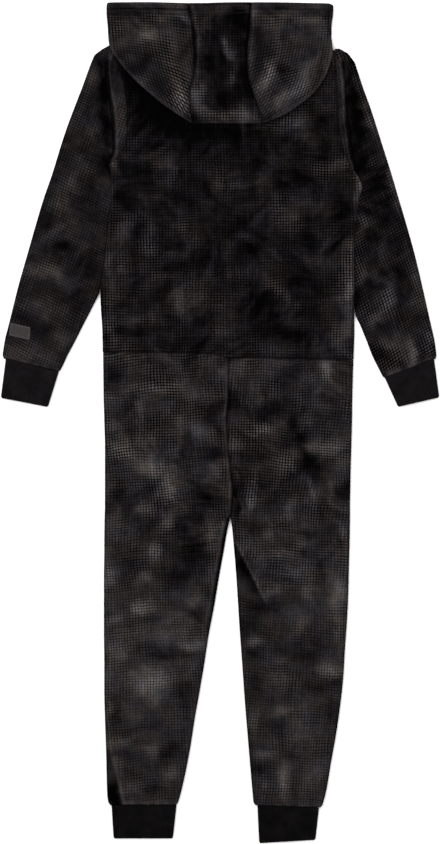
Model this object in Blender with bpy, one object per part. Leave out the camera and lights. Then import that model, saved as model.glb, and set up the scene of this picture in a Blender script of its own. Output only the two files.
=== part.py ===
"""Hooded onesie pajama of waffle fleece, laid face down and flat on a surface.

The garment is cut and sewn from named pieces: a back bodice, two front bodice halves beside a zip,
two sleeves, four trouser panels, a three-piece hood turned down over the upper back, four ribbed
cuffs, the zip's tapes, slider and pull tab, and a small patch on the left sleeve.

Frame: +X to the wearer's right, +Y to the head, +Z up from the surface, which is z = 0.
All sizes below are millimetres; metres() turns them into Blender's units at the end.
Every cloth piece is a sheet of middle points that a Solidify modifier gives its thickness.
"""
import math

import bpy
import bmesh
from mathutils import Vector
from mathutils.bvhtree import BVHTree

# ------------------------------------------------------------------ driving dimensions (mm)
CLOTH = 2.4            # thickness of the waffle fleece
RIB = 2.2              # thickness of the ribbed cuffs
TAPE = 1.0             # thickness of the zip tapes
SEAM = 0.4             # space between two pieces at a seam
FOLD_SEAM = 1.15       # the same where the seam lies in a fold
HOOD_GAP = 0.7         # the same between the hood's three pieces
TUCK_GAP = 1.6         # from the body's side to the sleeve that lies against it
FRONT = 1.2            # height of the middle of the cloth that lies on the surface
BACK = 5.8             # the same of the back panels, over the fronts
NAPE = 1.3             # the same of the back's neck, where nothing lies under it
HOOD_STEP = 4.0        # from the back's cloth up to the hood's under layer
HOOD_FOLD = 4.4        # from the hood's under layer up to its upper layer
SHOULDER_RUN = 18.0    # length over which the hood comes down past the shoulders
FACE_RUN = 24.0        # length over which cloth comes down past the hood's face edge

ZIP_TOP, ZIP_END = 520.0, -62.0      # where the zip's tapes start and end, along Y
ZIP_X_TOP, ZIP_X_END = 5.0, 12.0     # its middle line there, along X
ZIP_GAP = 4.2                        # from its middle line to the cloth's edge
TAPE_WIDTH = 13.0
SLIDER_Y = 506.0                     # middle of the slider
SLIDER_LENGTH, SLIDER_WIDTH = 11.0, 7.4
SLIDER_LOW, SLIDER_HIGH = 2.3, 4.5   # its lowest and highest face, without the bridge
BRIDGE_LENGTH, BRIDGE_DEPTH, BRIDGE_THICK = 7.2, 2.25, 0.7
PULL_LENGTH, PULL_WIDTH, PULL_THICK = 25.0, 5.0, 0.9
PULL_AXIS_Y = SLIDER_Y + 0.6                     # the crossbar's middle, under the bridge
PULL_AXIS_Z = SLIDER_LOW - 0.78

ARMPIT_LEFT, ARMPIT_RIGHT = 388.0, 374.0
CROTCH = -144.0
PATCH_CORNERS = ((-313.2, 149.8), (-284.3, 143), (-316, 131.3), (-286.2, 124.5))       # x, y
PATCH_CLOTH = 1.0                    # its thickness
PATCH_SPACE = 0.4                    # from the sleeve's cloth to it

# ------------------------------------------------------------------ tables
# The torso's edges: side folds up to the armpits, then the armhole seams up to the shoulders.
TORSO = (  # y, left, right
    (90, -176, 199.5), (140, -177, 201), (170, -179, 201), (196, -180, 201), (237, -174, 200),
    (274, -170, 200.5), (312, -166, 204), (334, -162.5, 207.5), (354, -162.5, 212.5),
    (366, -164, 208), (374, -164.3, 203), (388, -165.5, 196.5), (398, -155, 192), (410, -145, 186.5),
    (424, -140.5, 182), (454, -139, 176.5), (484, -140.5, 175), (514, -145, 174),
    (537, -153, 173), (560, -161, 172),
)
# The fold that stands over each sleeve beside its armhole, from the shoulder to the armpit.
CREST = (  # y, left, right
    (374, -165.5, 203), (388, -170.5, 199), (394, -167, 196.5), (405, -160.5, 194),
    (418, -160, 192), (435, -160.5, 190), (456, -161.5, 187.5), (477, -164, 186.5),
    (502, -169, 185), (520, -170.5, 183.5), (534, -171.5, 182), (545, -170, 181), (557, -168, 179),
)
# The sleeves' outer folds.
SLEEVE_OUTER = (  # y, left, right
    (80, -329, 326), (105, -326, 323.5), (124, -323, 321), (146, -317.5, 316), (166, -312.5, 311.5),
    (208, -302, 302), (250, -290, 292), (292, -278, 280.5), (334, -265.5, 268), (376, -251, 255.5),
    (418, -237.5, 243), (446, -228, 234.5), (477, -216.5, 224), (502, -207, 214.5),
    (534, -196, 204.5), (544, -192, 201), (554, -187, 195),
)
# The sleeves' free underarm folds, below where they leave the body.
SLEEVE_INNER = (  # y, left, right
    (66, -248, 244.5), (80, -241, 238.5), (100, -230.5, 229), (124, -217, 219), (146, -206, 210),
    (166, -195.5, 201.8), (196, -180.5, 201.6),
)
# Straight rings of each sleeve from the armhole to the hem: where their two ends lie along Y.
SLEEVE_FAN = (  # outer y left, inner y left, outer y right, inner y right
    (544, 378, 541, 366), (502, 364, 502, 355), (458, 346, 462, 345), (412, 322, 424, 334),
    (366, 290, 384, 314), (318, 256, 334, 276), (268, 222, 280, 234), (218, 180, 226, 184),
    (166, 136, 172, 134), (103, 82, 103, 74),
)
# Trouser panels: outer fold, and centre seam down to the crotch, then the inner leg fold.
LEG_LEFT = (  # y, outer, inner
    (110, -176, 12), (39, -175, 12), (4, -174, 9), (-36, -173, 12), (-70, -173, 15),
    (-99, -173, 18), (-124, -173, 17), (-144, -173.5, 15), (-170, -174, 9), (-190, -174, 6),
    (-232, -174.5, -2), (-274, -174.5, -9), (-316, -174.5, -17), (-358, -174, -23.5),
    (-400, -174, -30.5), (-442, -173, -38), (-484, -171.5, -44.5), (-526, -170.5, -52.5),
    (-558, -169.5, -60), (-568, -168, -63),
)
LEG_RIGHT = (  # y, outer, inner
    (110, 200, 12), (39, 198, 12), (4, 197.5, 9), (-36, 196.5, 12), (-70, 195.5, 15),
    (-99, 195, 18), (-124, 194.5, 17), (-144, 194.5, 16), (-170, 194, 19), (-212, 193, 22.5),
    (-254, 192, 25.5), (-296, 190, 28), (-338, 187, 31), (-380, 184.5, 34), (-422, 180, 37),
    (-464, 174, 40.5), (-506, 166.5, 44.5), (-548, 159.5, 49), (-568, 154, 51),
)
# Edges that run across, from left to right.
WAIST = ((-180, 106), (-50, 105), (-12, 103.5), (16, 97.5), (80, 96.5), (205, 95))     # x, y
FRONT_WAIST = ((-180, 106), (205, 95))                                                # x, y
BACK_TOP = (  # x, y: left shoulder, nape, right shoulder
    (-162, 557), (-86, 577), (-60, 567), (-30, 562), (1, 560.5), (32, 562), (62, 567), (88, 577),
    (173, 558),
)
FRONT_TOP = (  # x, y: left shoulder, front neck, right shoulder
    (-162, 557), (-86, 577), (-72, 554), (-42, 532), (5, 522), (52, 532), (78, 554), (88, 577),
    (173, 558),
)
FACE_EDGE = ((-175, 668), (-160, 646), (-130, 616), (-86, 594), (-40, 556), (5, 541), (50, 556),
             (92, 594), (130, 616), (160, 646), (175, 668))                                   # x, y

# The hood, left and right: its folded edge from the corner of the mouth, round the crown.
HOOD_SIDE = {
    "left": ((-170.5, 629.5), (-170.5, 612), (-169, 596), (-168, 578)),
    "right": ((169.5, 627), (169, 612), (167, 597), (166.5, 578)),
}
HOOD_CORNER = {
    "left": ((-168, 578), (-167, 570), (-164.5, 560), (-158, 549)),
    "right": ((166.5, 578), (167.5, 568), (168.5, 556), (167, 545)),
}
HOOD_CROWN = {
    "left": ((-158, 549), (-144, 531), (-129, 514.5), (-113, 499.5), (-96, 485), (-79, 472),
             (-62, 460.5), (-42, 448)),
    "right": ((167, 545), (160, 525), (155, 514.5), (145, 499.5), (130, 484.5), (113, 472),
              (95, 460.5), (63, 448)),
}
# The seams of the hood's middle strip, from the mouth to the crown.
HOOD_SEAM = {
    "left": ((-48, 630), (-44, 609), (-39.5, 585), (-38.5, 560), (-39, 528), (-42, 512),
             (-45.5, 494), (-45.5, 470), (-42, 448)),
    "right": ((47, 629.5), (45, 609), (44, 585), (41, 560), (41, 528), (43, 512), (49, 494),
              (57.5, 470), (63, 448)),
}
HOOD_NECK = {"left": (-30, 559.5), "right": (34, 559.5)}      # where those seams meet the nape
# Under the hood: over the shoulder to the neck, and along the front neckline to the zip.
HOOD_SHOULDER = {
    "left": ((-168, 578), (-130, 581), (-97, 582)),
    "right": ((166.5, 578), (132, 581), (99, 582)),
}
HOOD_NAPE = {
    "left": ((-97, 582), (-88, 574.5), (-60, 564), (-30, 559.5)),
    "right": ((99, 582), (90, 574.5), (62, 564), (34, 559.5)),
}
HOOD_FRONT_NECK = {
    "left": ((-97, 582), (-88, 592), (-77, 580), (-66, 557), (-41, 536), (0.5, 525.5)),
    "right": ((99, 582), (91, 592), (83, 580), (72, 557), (50, 536), (9.5, 525.5)),
}
HOOD_FACE = {
    "left": ((-170.5, 629.5), (-130, 607), (-86, 596), (-40, 547), (0.5, 532)),
    "right": ((169.5, 627), (130, 607), (92, 596), (50, 547), (9.5, 532)),
}

# Ribbed cuffs: the four corners of each, and the last ring of cloth above it.
CUFFS = {  # name: (outer top, inner top, outer bottom, inner bottom), each x, y
    "sleeve_cuff_left": ((-321.5, 96.4), (-244.3, 77.6), (-328.5, 38.5), (-261, 25)),
    "sleeve_cuff_right": ((320.3, 96.3), (248.3, 71.0), (328, 39.5), (266.5, 25)),
    "leg_cuff_left": ((-163, -572.8), (-65.5, -572.8), (-160, -622), (-71, -622)),
    "leg_cuff_right": ((148, -576.4), (57, -573.0), (142.5, -624), (60, -629.2)),
}

# Broad soft swells of the back's cloth: middle, reach along and across, direction, height.
SWELLS = (  # x, y, half length, half width, degrees from +X, height
    (-134, 398, 26, 12, 35, 0.7), (150, 402, 40, 14, -60, 0.7), (-150, 250, 70, 14, 85, 0.8),
    (186, 300, 80, 14, 88, 0.8), (60, 300, 110, 22, 8, 0.5), (-60, 236, 90, 18, 4, 0.5),
    (-30, 150, 120, 20, -3, 0.5), (120, 150, 60, 18, 3, 0.6), (-110, 30, 60, 16, 70, 0.6),
    (60, -20, 30, 14, 75, 0.6), (-40, -70, 70, 18, 12, 0.6), (110, -100, 80, 22, -8, 0.5),
    (55, -235, 34, 10, -58, 1.0), (-110, -260, 120, 26, 82, 0.6), (120, -300, 120, 24, 96, 0.6),
    (-90, -430, 90, 24, 80, 0.6), (105, -470, 90, 22, 100, 0.6), (-150, -520, 40, 8, 68, 0.9),
    (-85, -545, 26, 9, 20, 0.8), (100, -545, 30, 9, -15, 0.8),
)
SLIDER_SWELL = (ZIP_X_TOP, SLIDER_Y, 50, 36, 0, 1.0)


# ------------------------------------------------------------------ arithmetic of the tables
def ease(t):
    """Smooth step from 0 to 1."""
    t = min(max(t, 0.0), 1.0)
    return t * t * (3.0 - 2.0 * t)


def along(table, key, column=1):
    """A table's column at a key, on a smooth curve that never overshoots its rows."""
    rows = sorted(table)
    key = min(max(key, rows[0][0]), rows[-1][0])
    slopes = [(b[column] - a[column]) / (b[0] - a[0]) for a, b in zip(rows, rows[1:])]
    tangents = [slopes[0]]
    for before, after in zip(slopes, slopes[1:]):
        same_way = before * after > 0
        tangents.append(2 * before * after / (before + after) if same_way else 0.0)
    tangents.append(slopes[-1])
    i = next(i for i in range(len(slopes)) if key <= rows[i + 1][0])
    span = rows[i + 1][0] - rows[i][0]
    t = (key - rows[i][0]) / span
    return ((1 + 2 * t) * (1 - t) ** 2 * rows[i][column] + t * (1 - t) ** 2 * span * tangents[i]
            + t * t * (3 - 2 * t) * rows[i + 1][column] + t * t * (t - 1) * span * tangents[i + 1])


def curve(points, count):
    """count + 1 points, evenly spaced, on a smooth curve through the given ones."""
    knots = [Vector(p) for p in points]
    ends = [2 * knots[0] - knots[1]] + knots + [2 * knots[-1] - knots[-2]]
    fine = []
    for a, b, c, d in zip(ends, ends[1:], ends[2:], ends[3:]):
        for step in range(12):
            t = step / 12
            fine.append(0.5 * (2 * b + (c - a) * t + (2 * a - 5 * b + 4 * c - d) * t * t
                               + (3 * b - a - 3 * c + d) * t ** 3))
    fine.append(knots[-1])
    return spaced(fine, [i / count for i in range(count + 1)])


def spaced(path, fractions):
    """Points at the given fractions of a path's length."""
    lengths = [0.0]
    for a, b in zip(path, path[1:]):
        lengths.append(lengths[-1] + (b - a).length)
    points = []
    for fraction in fractions:
        want = min(max(fraction, 0.0), 1.0) * lengths[-1]
        i = next(i for i in range(len(path) - 1) if want <= lengths[i + 1] + 1e-9)
        points.append(path[i].lerp(path[i + 1], (want - lengths[i]) / (lengths[i + 1] - lengths[i])))
    return points


def swell(x, y, cx, cy, half_length, half_width, degrees, height):
    """Height that one soft swell adds at a point."""
    turn = math.radians(degrees)
    along_it = ((x - cx) * math.cos(turn) + (y - cy) * math.sin(turn)) / half_length
    across_it = ((y - cy) * math.cos(turn) - (x - cx) * math.sin(turn)) / half_width
    return height * math.exp(-2 * (along_it * along_it + across_it * across_it))


# ------------------------------------------------------------------ heights of the layers
def covered(x, y):
    """1 over the front's cloth and the hood's lower part, 0 past the hood's face edge."""
    return ease((along(FACE_EDGE, x) + 9 - y) / FACE_RUN)


def back_height(x, y):
    """Middle of the back's cloth."""
    lift = min(sum(swell(x, y, *row) for row in SWELLS), 1.2)
    return NAPE + (BACK - NAPE) * covered(x, y) + lift + swell(x, y, *SLIDER_SWELL)


def on_torso(x, y):
    """1 where the hood lies on the torso, 0 where it has come down past the shoulders."""
    return ease((along(BACK_TOP, x) + SHOULDER_RUN + 2 - y) / SHOULDER_RUN)


def hood_under_height(x, y):
    """Middle of the hood's under layer."""
    return FRONT + (back_height(x, min(y, along(BACK_TOP, x))) + HOOD_STEP - FRONT) * on_torso(x, y)


def hood_height(x, y):
    """Middle of the hood's upper layer."""
    low = FRONT + 0.3 - HOOD_FOLD + (HOOD_FOLD - 0.3) * covered(x, y)
    high = back_height(x, min(y, along(BACK_TOP, x))) + HOOD_STEP
    return low + (high - low) * on_torso(x, y) + HOOD_FOLD


def zip_x(y):
    """The zip's middle line."""
    return ZIP_X_END + (y - ZIP_END) * (ZIP_X_TOP - ZIP_X_END) / (ZIP_TOP - ZIP_END)


# ------------------------------------------------------------------ from middle points to solids
def material(name, color, roughness, metallic=0.0):
    mat = bpy.data.materials.new(name)
    mat.use_nodes = True
    shader = mat.node_tree.nodes["Principled BSDF"]
    shader.inputs["Base Color"].default_value = (*color, 1.0)
    shader.inputs["Roughness"].default_value = roughness
    shader.inputs["Metallic"].default_value = metallic
    return mat


def metres(point):
    return Vector(point) * 0.001


def add_object(name, mesh_builder, mat, smooth=True):
    """An object whose mesh is filled by mesh_builder(bm)."""
    mesh = bpy.data.meshes.new(name)
    bm = bmesh.new()
    mesh_builder(bm)
    bm.to_mesh(mesh)
    bm.free()
    if smooth:
        mesh.shade_smooth()
    mesh.materials.append(mat)
    obj = bpy.data.objects.new(name, mesh)
    bpy.context.scene.collection.objects.link(obj)
    return obj


def add_grid(bm, rows, wrap=False):
    """Quads through rows of points; wrap joins each row's end to its start."""
    verts = [[bm.verts.new(metres(p)) for p in row] for row in rows]
    for low, high in zip(verts, verts[1:]):
        count = len(low)
        for i in range(count if wrap else count - 1):
            j = (i + 1) % count
            bm.faces.new((low[i], low[j], high[j], high[i]))


def cloth(name, grids, mat, thickness=CLOTH, wrap=False):
    """A cloth solid: sheets of middle points, welded where they meet, then thickened."""
    def build(bm):
        for rows in grids:
            add_grid(bm, rows, wrap)
        bmesh.ops.remove_doubles(bm, verts=bm.verts, dist=0.00002)
        bmesh.ops.recalc_face_normals(bm, faces=bm.faces)
    obj = add_object(name, build, mat)
    wall = obj.modifiers.new("wall", "SOLIDIFY")
    wall.thickness = thickness * 0.001
    wall.offset = 0.0
    return obj


def bend(low, high, upper, steps):
    """Offsets (outwards, height) from a fold's flat start round to its middle, for one layer.

    low and high are the middles of the two layers; upper says which layer it is."""
    radius = (high - low) / 2
    middle = (high + low) / 2
    sign = 1 if upper else -1
    points = [(radius, middle + sign * FOLD_SEAM / 2), (radius, middle + sign * (FOLD_SEAM / 2 + 0.5))]
    for k in range(1, steps + 1):
        turn = math.pi / 2 * k / steps
        points.append((radius * math.cos(turn), middle + sign * radius * math.sin(turn)))
    return points


# ------------------------------------------------------------------ bodice and trouser panels
EDGE_STEPS = 2                       # segments in a quarter fold
FLAT_EDGE = (0.0, 1.2, 2.6, 4.2)     # where the same points lie, inwards, on a flat seam


def panel_row(y_at, edges, folds, height_at, upper, columns):
    """Points across a panel from left to right.

    edges: x of its two edges; folds: 1 where an edge is a fold, 0 at a flat seam;
    y_at(x) gives a point's place along Y, height_at(x, y) the middle of the back's cloth.
    An edge whose fold is None is plain, with a single point."""
    def side(edge, fold, inwards):
        if fold is None:
            return [(edge, y_at(edge), height_at(edge, y_at(edge)) if upper else FRONT)]
        y = y_at(edge)
        high = height_at(edge + inwards * 4, y)
        rounds = bend(FRONT, high, upper, EDGE_STEPS)
        radius = (high - FRONT) / 2
        flat_height = high if upper else FRONT
        points = []
        for (out, z), flat in zip(rounds, FLAT_EDGE):
            folded = CLOTH / 2 + radius - out
            x = edge + inwards * (fold * folded + (1 - fold) * (SEAM / 2 + flat))
            points.append((x, y_at(x), fold * z + (1 - fold) * flat_height))
        return points

    left = side(edges[0], folds[0], 1)
    right = side(edges[1], folds[1], -1)
    inner = []
    for i in range(1, columns):
        x = left[-1][0] + (right[-1][0] - left[-1][0]) * i / columns
        y = y_at(x)
        inner.append((x, y, height_at(x, y) if upper else FRONT))
    return left + inner + right[::-1]


def top_fold(row, edge, fold_at, upper, height_at):
    """Rows that carry a panel over its upper edge, where it folds to the other layer."""
    rows = []
    for step in range(EDGE_STEPS + 1, -1, -1):
        points = []
        for x, _, z in row:
            y = along(edge, x)
            high = height_at(x, y)
            radius = (high - FRONT) / 2
            out, turned = bend(FRONT, high, upper, EDGE_STEPS)[step] if radius > SEAM else (0, z)
            fold = fold_at(x)
            inset = fold * (CLOTH / 2 + radius - out) + (1 - fold) * (0.2 + FLAT_EDGE[step])
            points.append((x, y - inset, fold * turned + (1 - fold) * z))
        rows.append(points)
    return rows


BODICE_LEVELS = (100, 122, 150, 185, 220, 256, 292, 318, 334, 345, 355, 366, 377, 388, 399, 411,
                 432, 460, 490, 515, 536, 552)
TOP_LEVEL = 560


def bodice_y(level, x, top, waist, reach):
    """Where a nominal level passes at x, between the waist seam and the upper edge."""
    up = min(max((level - reach) / (TOP_LEVEL - reach), 0.0), 1.0)
    down = min(max((145 - level) / 45, 0.0), 1.0)
    return level + (along(top, x) - TOP_LEVEL) * up + (along(waist, x) + SEAM / 2 - 100) * down


def armhole_fold(side, y):
    """1 below the armpit, where the side is a fold; 0 at the armhole seam."""
    return ease(((ARMPIT_LEFT if side == "left" else ARMPIT_RIGHT) - y) / 12)


def shoulder_fold(x):
    """1 along the shoulders, 0 along the neckline."""
    return ease((max(-x, x - 2) - 86) / 8)


def back_bodice(mat):
    rows = []
    for level in BODICE_LEVELS:
        ends = [bodice_y(level, x, BACK_TOP, WAIST, 480) for x in (-165, 180)]
        rows.append(panel_row(
            lambda x: bodice_y(level, x, BACK_TOP, WAIST, 480),
            (along(TORSO, ends[0], 1), along(TORSO, ends[1], 2)),
            (armhole_fold("left", ends[0]), armhole_fold("right", ends[1])),
            back_height, True, 12))
    rows += top_fold(rows[-1], BACK_TOP, shoulder_fold, True, back_height)
    return cloth("back_bodice", [rows], mat)


def front_bodice(side, mat):
    """One half of the front, from its side to the zip."""
    rows = []
    for level in BODICE_LEVELS:
        end = bodice_y(level, -165 if side == "left" else 180, FRONT_TOP, FRONT_WAIST, 400)
        at_zip = bodice_y(level, zip_x(level), FRONT_TOP, FRONT_WAIST, 400)
        outer = along(TORSO, end, 1 if side == "left" else 2)
        inner = zip_x(at_zip) + (-ZIP_GAP if side == "left" else ZIP_GAP)
        fold = armhole_fold(side, end)
        edges, folds = (((outer, inner), (fold, None)) if side == "left"
                        else ((inner, outer), (None, fold)))
        rows.append(panel_row(lambda x: bodice_y(level, x, FRONT_TOP, FRONT_WAIST, 400), edges, folds,
                              back_height, False, 6))
    rows += top_fold(rows[-1], FRONT_TOP, shoulder_fold, False, back_height)
    return cloth("front_bodice_" + side, [rows], mat)


LEG_LEVELS = (95, 39, 4, -36, -62, -80, -112, -144, -158, -190, -235, -285, -340, -395, -450,
              -505, -545, -568)
HEM_TURN = 3.6         # how far the cloth turns in past the last level, down to the cuff's seam
HEM_INSET = 3.5        # how much narrower it is there


def leg_y(level, x, outer, waist):
    """Where a nominal level passes at x, between the waist seam and the hem."""
    up = min(max((level - 39) / 56, 0.0), 1.0)
    slope = 0.0 if outer < 0 else ease((-500 - level) / 60) * -0.037 * (x - 51)
    return level + (along(waist, x) - SEAM / 2 - 95) * up + slope


def leg_panel(name, table, upper, mat):
    """A trouser panel, back or front, from the waist seam to the hem."""
    outer_sign = -1 if table[0][1] < 0 else 1
    waist = WAIST if upper else FRONT_WAIST
    rows = []
    for level in LEG_LEVELS + (LEG_LEVELS[-1] - HEM_TURN,):
        turned = level < LEG_LEVELS[-1]
        outer, inner = along(table, level, 1), along(table, level, 2)
        if not upper and level > CROTCH:
            parted = ease((level - ZIP_END + 14) / 14)
            inner += outer_sign * (ZIP_GAP - SEAM / 2) * parted + (zip_x(level) - inner) * parted
        if turned:
            outer -= outer_sign * HEM_INSET
            inner += outer_sign * HEM_INSET
        thinner = 0.8 if turned else 0.0
        fold = ease((CROTCH - level) / 12)
        edges = (outer, inner) if outer_sign < 0 else (inner, outer)
        folds = (1, fold) if outer_sign < 0 else (fold, 1)
        rows.append(panel_row(lambda x: leg_y(level, x, outer, waist), edges, folds,
                              lambda x, y: back_height(x, y) - thinner, upper, 5))
    return cloth(name, [rows], mat)


# ------------------------------------------------------------------ sleeves and cuffs
def ring(path, high_at, columns, low=FRONT, inset=0.0):
    """A flattened tube's section: points round two layers that lie along a path in plan.

    high_at(fraction) is the height of the upper layer's middle."""
    length = sum((b - a).length for a, b in zip(path, path[1:]))
    loop = []
    for upper in (True, False):
        ends = ((0.0, 1), (1.0, -1)) if upper else ((1.0, -1), (0.0, 1))
        for order, (end, inwards) in enumerate(ends):
            high = high_at(end)
            radius = (high - low) / 2
            start = inset + CLOTH / 2 + radius
            turns = (0, 45, 90) if order == 0 else (90, 45)
            for degrees in turns:
                turn = math.radians(degrees)
                distance = start - radius * math.cos(turn)
                plan = spaced(path, [end + inwards * distance / length])[0]
                z = (high + low) / 2 + (1 if upper else -1) * radius * math.sin(turn)
                loop.append((plan.x, plan.y, z))
            if order == 0:
                for i in range(1, columns):
                    along_it = start / length + (1 - 2 * start / length) * i / columns
                    along_it = along_it if upper else 1 - along_it
                    plan = spaced(path, [along_it])[0]
                    loop.append((plan.x, plan.y, high_at(along_it) if upper else low))
    return loop


def edge_path(table, column, top, bottom, shift):
    """A path down a table's column, moved sideways by shift."""
    levels = [top + (bottom - top) * i / 24 for i in range(25)]
    return [Vector((along(table, y, column) + shift, y)) for y in levels]


HUMP = 7.3             # height of the sleeve's upper middle where it rises under the crest
FOOT = 4.4             # the same where it has come down beside the body
FLAT = 5.6             # the same along the middle of the sleeve
SLEEVE_HEM_TURN = 4.6  # how far the cloth turns in past the last ring
SLEEVE_COLUMNS = 6


def sleeve(side, mat):
    """A sleeve: rings from the armhole seam, over the fold beside it, and down to the cuff."""
    column = 1 if side == "left" else 2
    away = -1 if side == "left" else 1
    armpit = ARMPIT_LEFT if side == "left" else ARMPIT_RIGHT
    seam = edge_path(TORSO, column, 557.5, armpit + 4, away * (SEAM + 0.5))
    crest = edge_path(CREST, column, 556.5, armpit + 3, away * TUCK_GAP)
    middle = [a.lerp(b, 0.55) for a, b in zip(seam, crest)]
    foot = [p + Vector((away * (1.2 + 3.4 * math.sin(math.pi * i / 24) ** 0.5), -2.0 * i / 24))
            for i, p in enumerate(crest)]
    beyond = [p + Vector((away * (8 + 4 * math.sin(math.pi * i / 24)) * (1 - i / 24 * 0.75),
                          -5.0 * i / 24)) for i, p in enumerate(crest)]

    def hump(high, ends):
        return lambda s: ends + (high - ends) * math.sin(math.pi * min(max(s, 0), 1)) ** 0.6

    rings = [
        ring(seam, lambda s: BACK, SLEEVE_COLUMNS),
        ring(middle, hump(HUMP, BACK), SLEEVE_COLUMNS),
        ring(crest, hump(HUMP, BACK - 0.4), SLEEVE_COLUMNS),
        ring(foot, hump(FOOT, BACK - 1), SLEEVE_COLUMNS),
        ring(beyond, hump(FOOT + 0.2, BACK - 1), SLEEVE_COLUMNS),
    ]
    for number, row in enumerate(SLEEVE_FAN):
        outer_y, inner_y = row[0:2] if side == "left" else row[2:4]
        outer = Vector((along(SLEEVE_OUTER, outer_y, column), outer_y))
        touching = inner_y > 198 or (side == "right" and inner_y > 166)
        inner_x = along(TORSO if touching else SLEEVE_INNER, inner_y, column)
        inner = Vector((inner_x + (away * TUCK_GAP if touching else 0), inner_y))
        free = ease((number - 5) / 3)

        def high_at(s, free=free):
            tucked = FOOT + 0.6 * free
            arch = math.sin(math.pi * min(max(s, 0), 1)) ** 0.8
            return tucked + (FLAT - tucked) * arch + (1 - s) * 0.4
        rings.append(ring([outer, inner], high_at, SLEEVE_COLUMNS))
    last_outer, last_inner = outer, inner      # the last straight ring
    down = (last_inner - last_outer).normalized()
    down = Vector((down.y, -down.x)) if side == "left" else Vector((-down.y, down.x))
    rings.append(ring([last_outer + down * SLEEVE_HEM_TURN, last_inner + down * SLEEVE_HEM_TURN],
                      lambda s: BACK - 0.8, SLEEVE_COLUMNS, inset=3.0))
    return cloth("sleeve_" + side, [rings], mat, wrap=True)


CUFF_HIGH = 4.7        # height of the middle of a cuff's upper layer


def cuff(name, mat):
    """A ribbed cuff: a short flattened tube, pinched a little at its ends."""
    outer_top, inner_top, outer_low, inner_low = [Vector(p) for p in CUFFS[name]]
    rings = []
    for t in (0.0, 0.08, 0.92, 1.0):
        pinch = 0.7 if t in (0.0, 1.0) else 0.0
        rings.append(ring([outer_top.lerp(outer_low, t), inner_top.lerp(inner_low, t)],
                          lambda s: CUFF_HIGH - pinch, 4, low=RIB / 2, inset=pinch))
    return cloth(name, [rings], mat, RIB, wrap=True)


# ------------------------------------------------------------------ hood
SIDE_STEPS, CORNER_STEPS = 5, 5      # rows along the hood's side fold and round its corner
SHOULDER_STEPS, NAPE_STEPS = 5, 5    # columns of its under layer over the shoulder and the nape
NECK_STEPS = 7                       # columns of its lower part along the front neckline


def patch(bottom, top, left, right):
    """Rows of plan points between four edges; bottom and top run left to right."""
    rows = []
    for j, (a, b) in enumerate(zip(left, right)):
        v = j / (len(left) - 1)
        row = []
        for i, (c, d) in enumerate(zip(bottom, top)):
            u = i / (len(bottom) - 1)
            corners = ((1 - u) * (1 - v) * bottom[0] + u * (1 - v) * bottom[-1]
                       + (1 - u) * v * top[0] + u * v * top[-1])
            row.append((1 - v) * c + v * d + (1 - u) * a + u * b - corners)
        rows.append(row)
    return rows


def hood_side(side, mat):
    """A hood side: the upper layer, the fold round it, and the under layer to the neckline."""
    outwards = -1 if side == "left" else 1
    columns = SHOULDER_STEPS + NAPE_STEPS
    edge = (curve(HOOD_SIDE[side], SIDE_STEPS) + curve(HOOD_CORNER[side], CORNER_STEPS)[1:]
            + curve(HOOD_CROWN[side], columns)[1:])
    inset = CLOTH / 2 + HOOD_FOLD / 2
    normals = []
    for i, point in enumerate(edge):
        run = edge[min(i + 1, len(edge) - 1)] - edge[max(i - 1, 0)]
        run.normalize()
        normals.append(Vector((run.y, -run.x)) * -outwards)
    normals[0] = Vector((outwards, 0))
    normals[-1] = Vector((0, -1))
    flat = [p - n * inset for p, n in zip(edge, normals)]
    flat[-1].x += outwards * HOOD_GAP / 2
    corner = SIDE_STEPS + CORNER_STEPS

    side_edge = flat[:corner + 1]
    crown_edge = flat[corner:]
    shift = Vector((outwards * HOOD_GAP / 2, 0))
    seam_edge = [p + shift for p in curve(HOOD_SEAM[side], corner)]
    seam_edge[-1] = crown_edge[-1]
    mouth = [side_edge[0].lerp(seam_edge[0], i / columns) for i in range(columns + 1)]
    upper = patch(mouth, crown_edge, side_edge, seam_edge)

    rounds = []
    for step in range(5):
        turn = math.pi * (0.5 - step / 4)
        row = []
        for p, n in zip(flat, normals):
            middle = hood_height(p.x, p.y) - HOOD_FOLD / 2
            plan = p + n * HOOD_FOLD / 2 * math.cos(turn)
            row.append((plan.x, plan.y, middle + HOOD_FOLD / 2 * math.sin(turn)))
        rounds.append(row)

    shoulder = curve(HOOD_SHOULDER[side], SHOULDER_STEPS)
    shoulder[0] = flat[SIDE_STEPS]
    nape = curve(HOOD_NAPE[side], NAPE_STEPS)
    nape[-1] = Vector(HOOD_NECK[side]) + shift
    inner_seam = [crown_edge[-1].lerp(nape[-1], i / CORNER_STEPS) for i in range(CORNER_STEPS + 1)]
    under = patch(crown_edge, shoulder + nape[1:], flat[SIDE_STEPS:corner + 1][::-1], inner_seam)

    neck = curve(HOOD_FRONT_NECK[side], NECK_STEPS)
    face = curve(HOOD_FACE[side], SHOULDER_STEPS + NECK_STEPS)
    face[0] = flat[0]
    front_end = [neck[-1].lerp(face[-1], i / SIDE_STEPS) for i in range(SIDE_STEPS + 1)]
    lower = patch(shoulder + neck[1:], face, flat[:SIDE_STEPS + 1][::-1], front_end)

    def lifted(rows, height):
        return [[(p.x, p.y, height(p.x, p.y)) for p in row] for row in rows]

    def lower_height(x, y):
        beside_neck = ease((100 - max(-x, x - 3)) / 10)
        over = hood_under_height(x, y)
        return over + (FRONT - over) * beside_neck

    grids = [lifted(upper, hood_height), lifted(under, hood_under_height),
             lifted(lower, lower_height), rounds]
    return cloth("hood_" + side, grids, mat)


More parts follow.
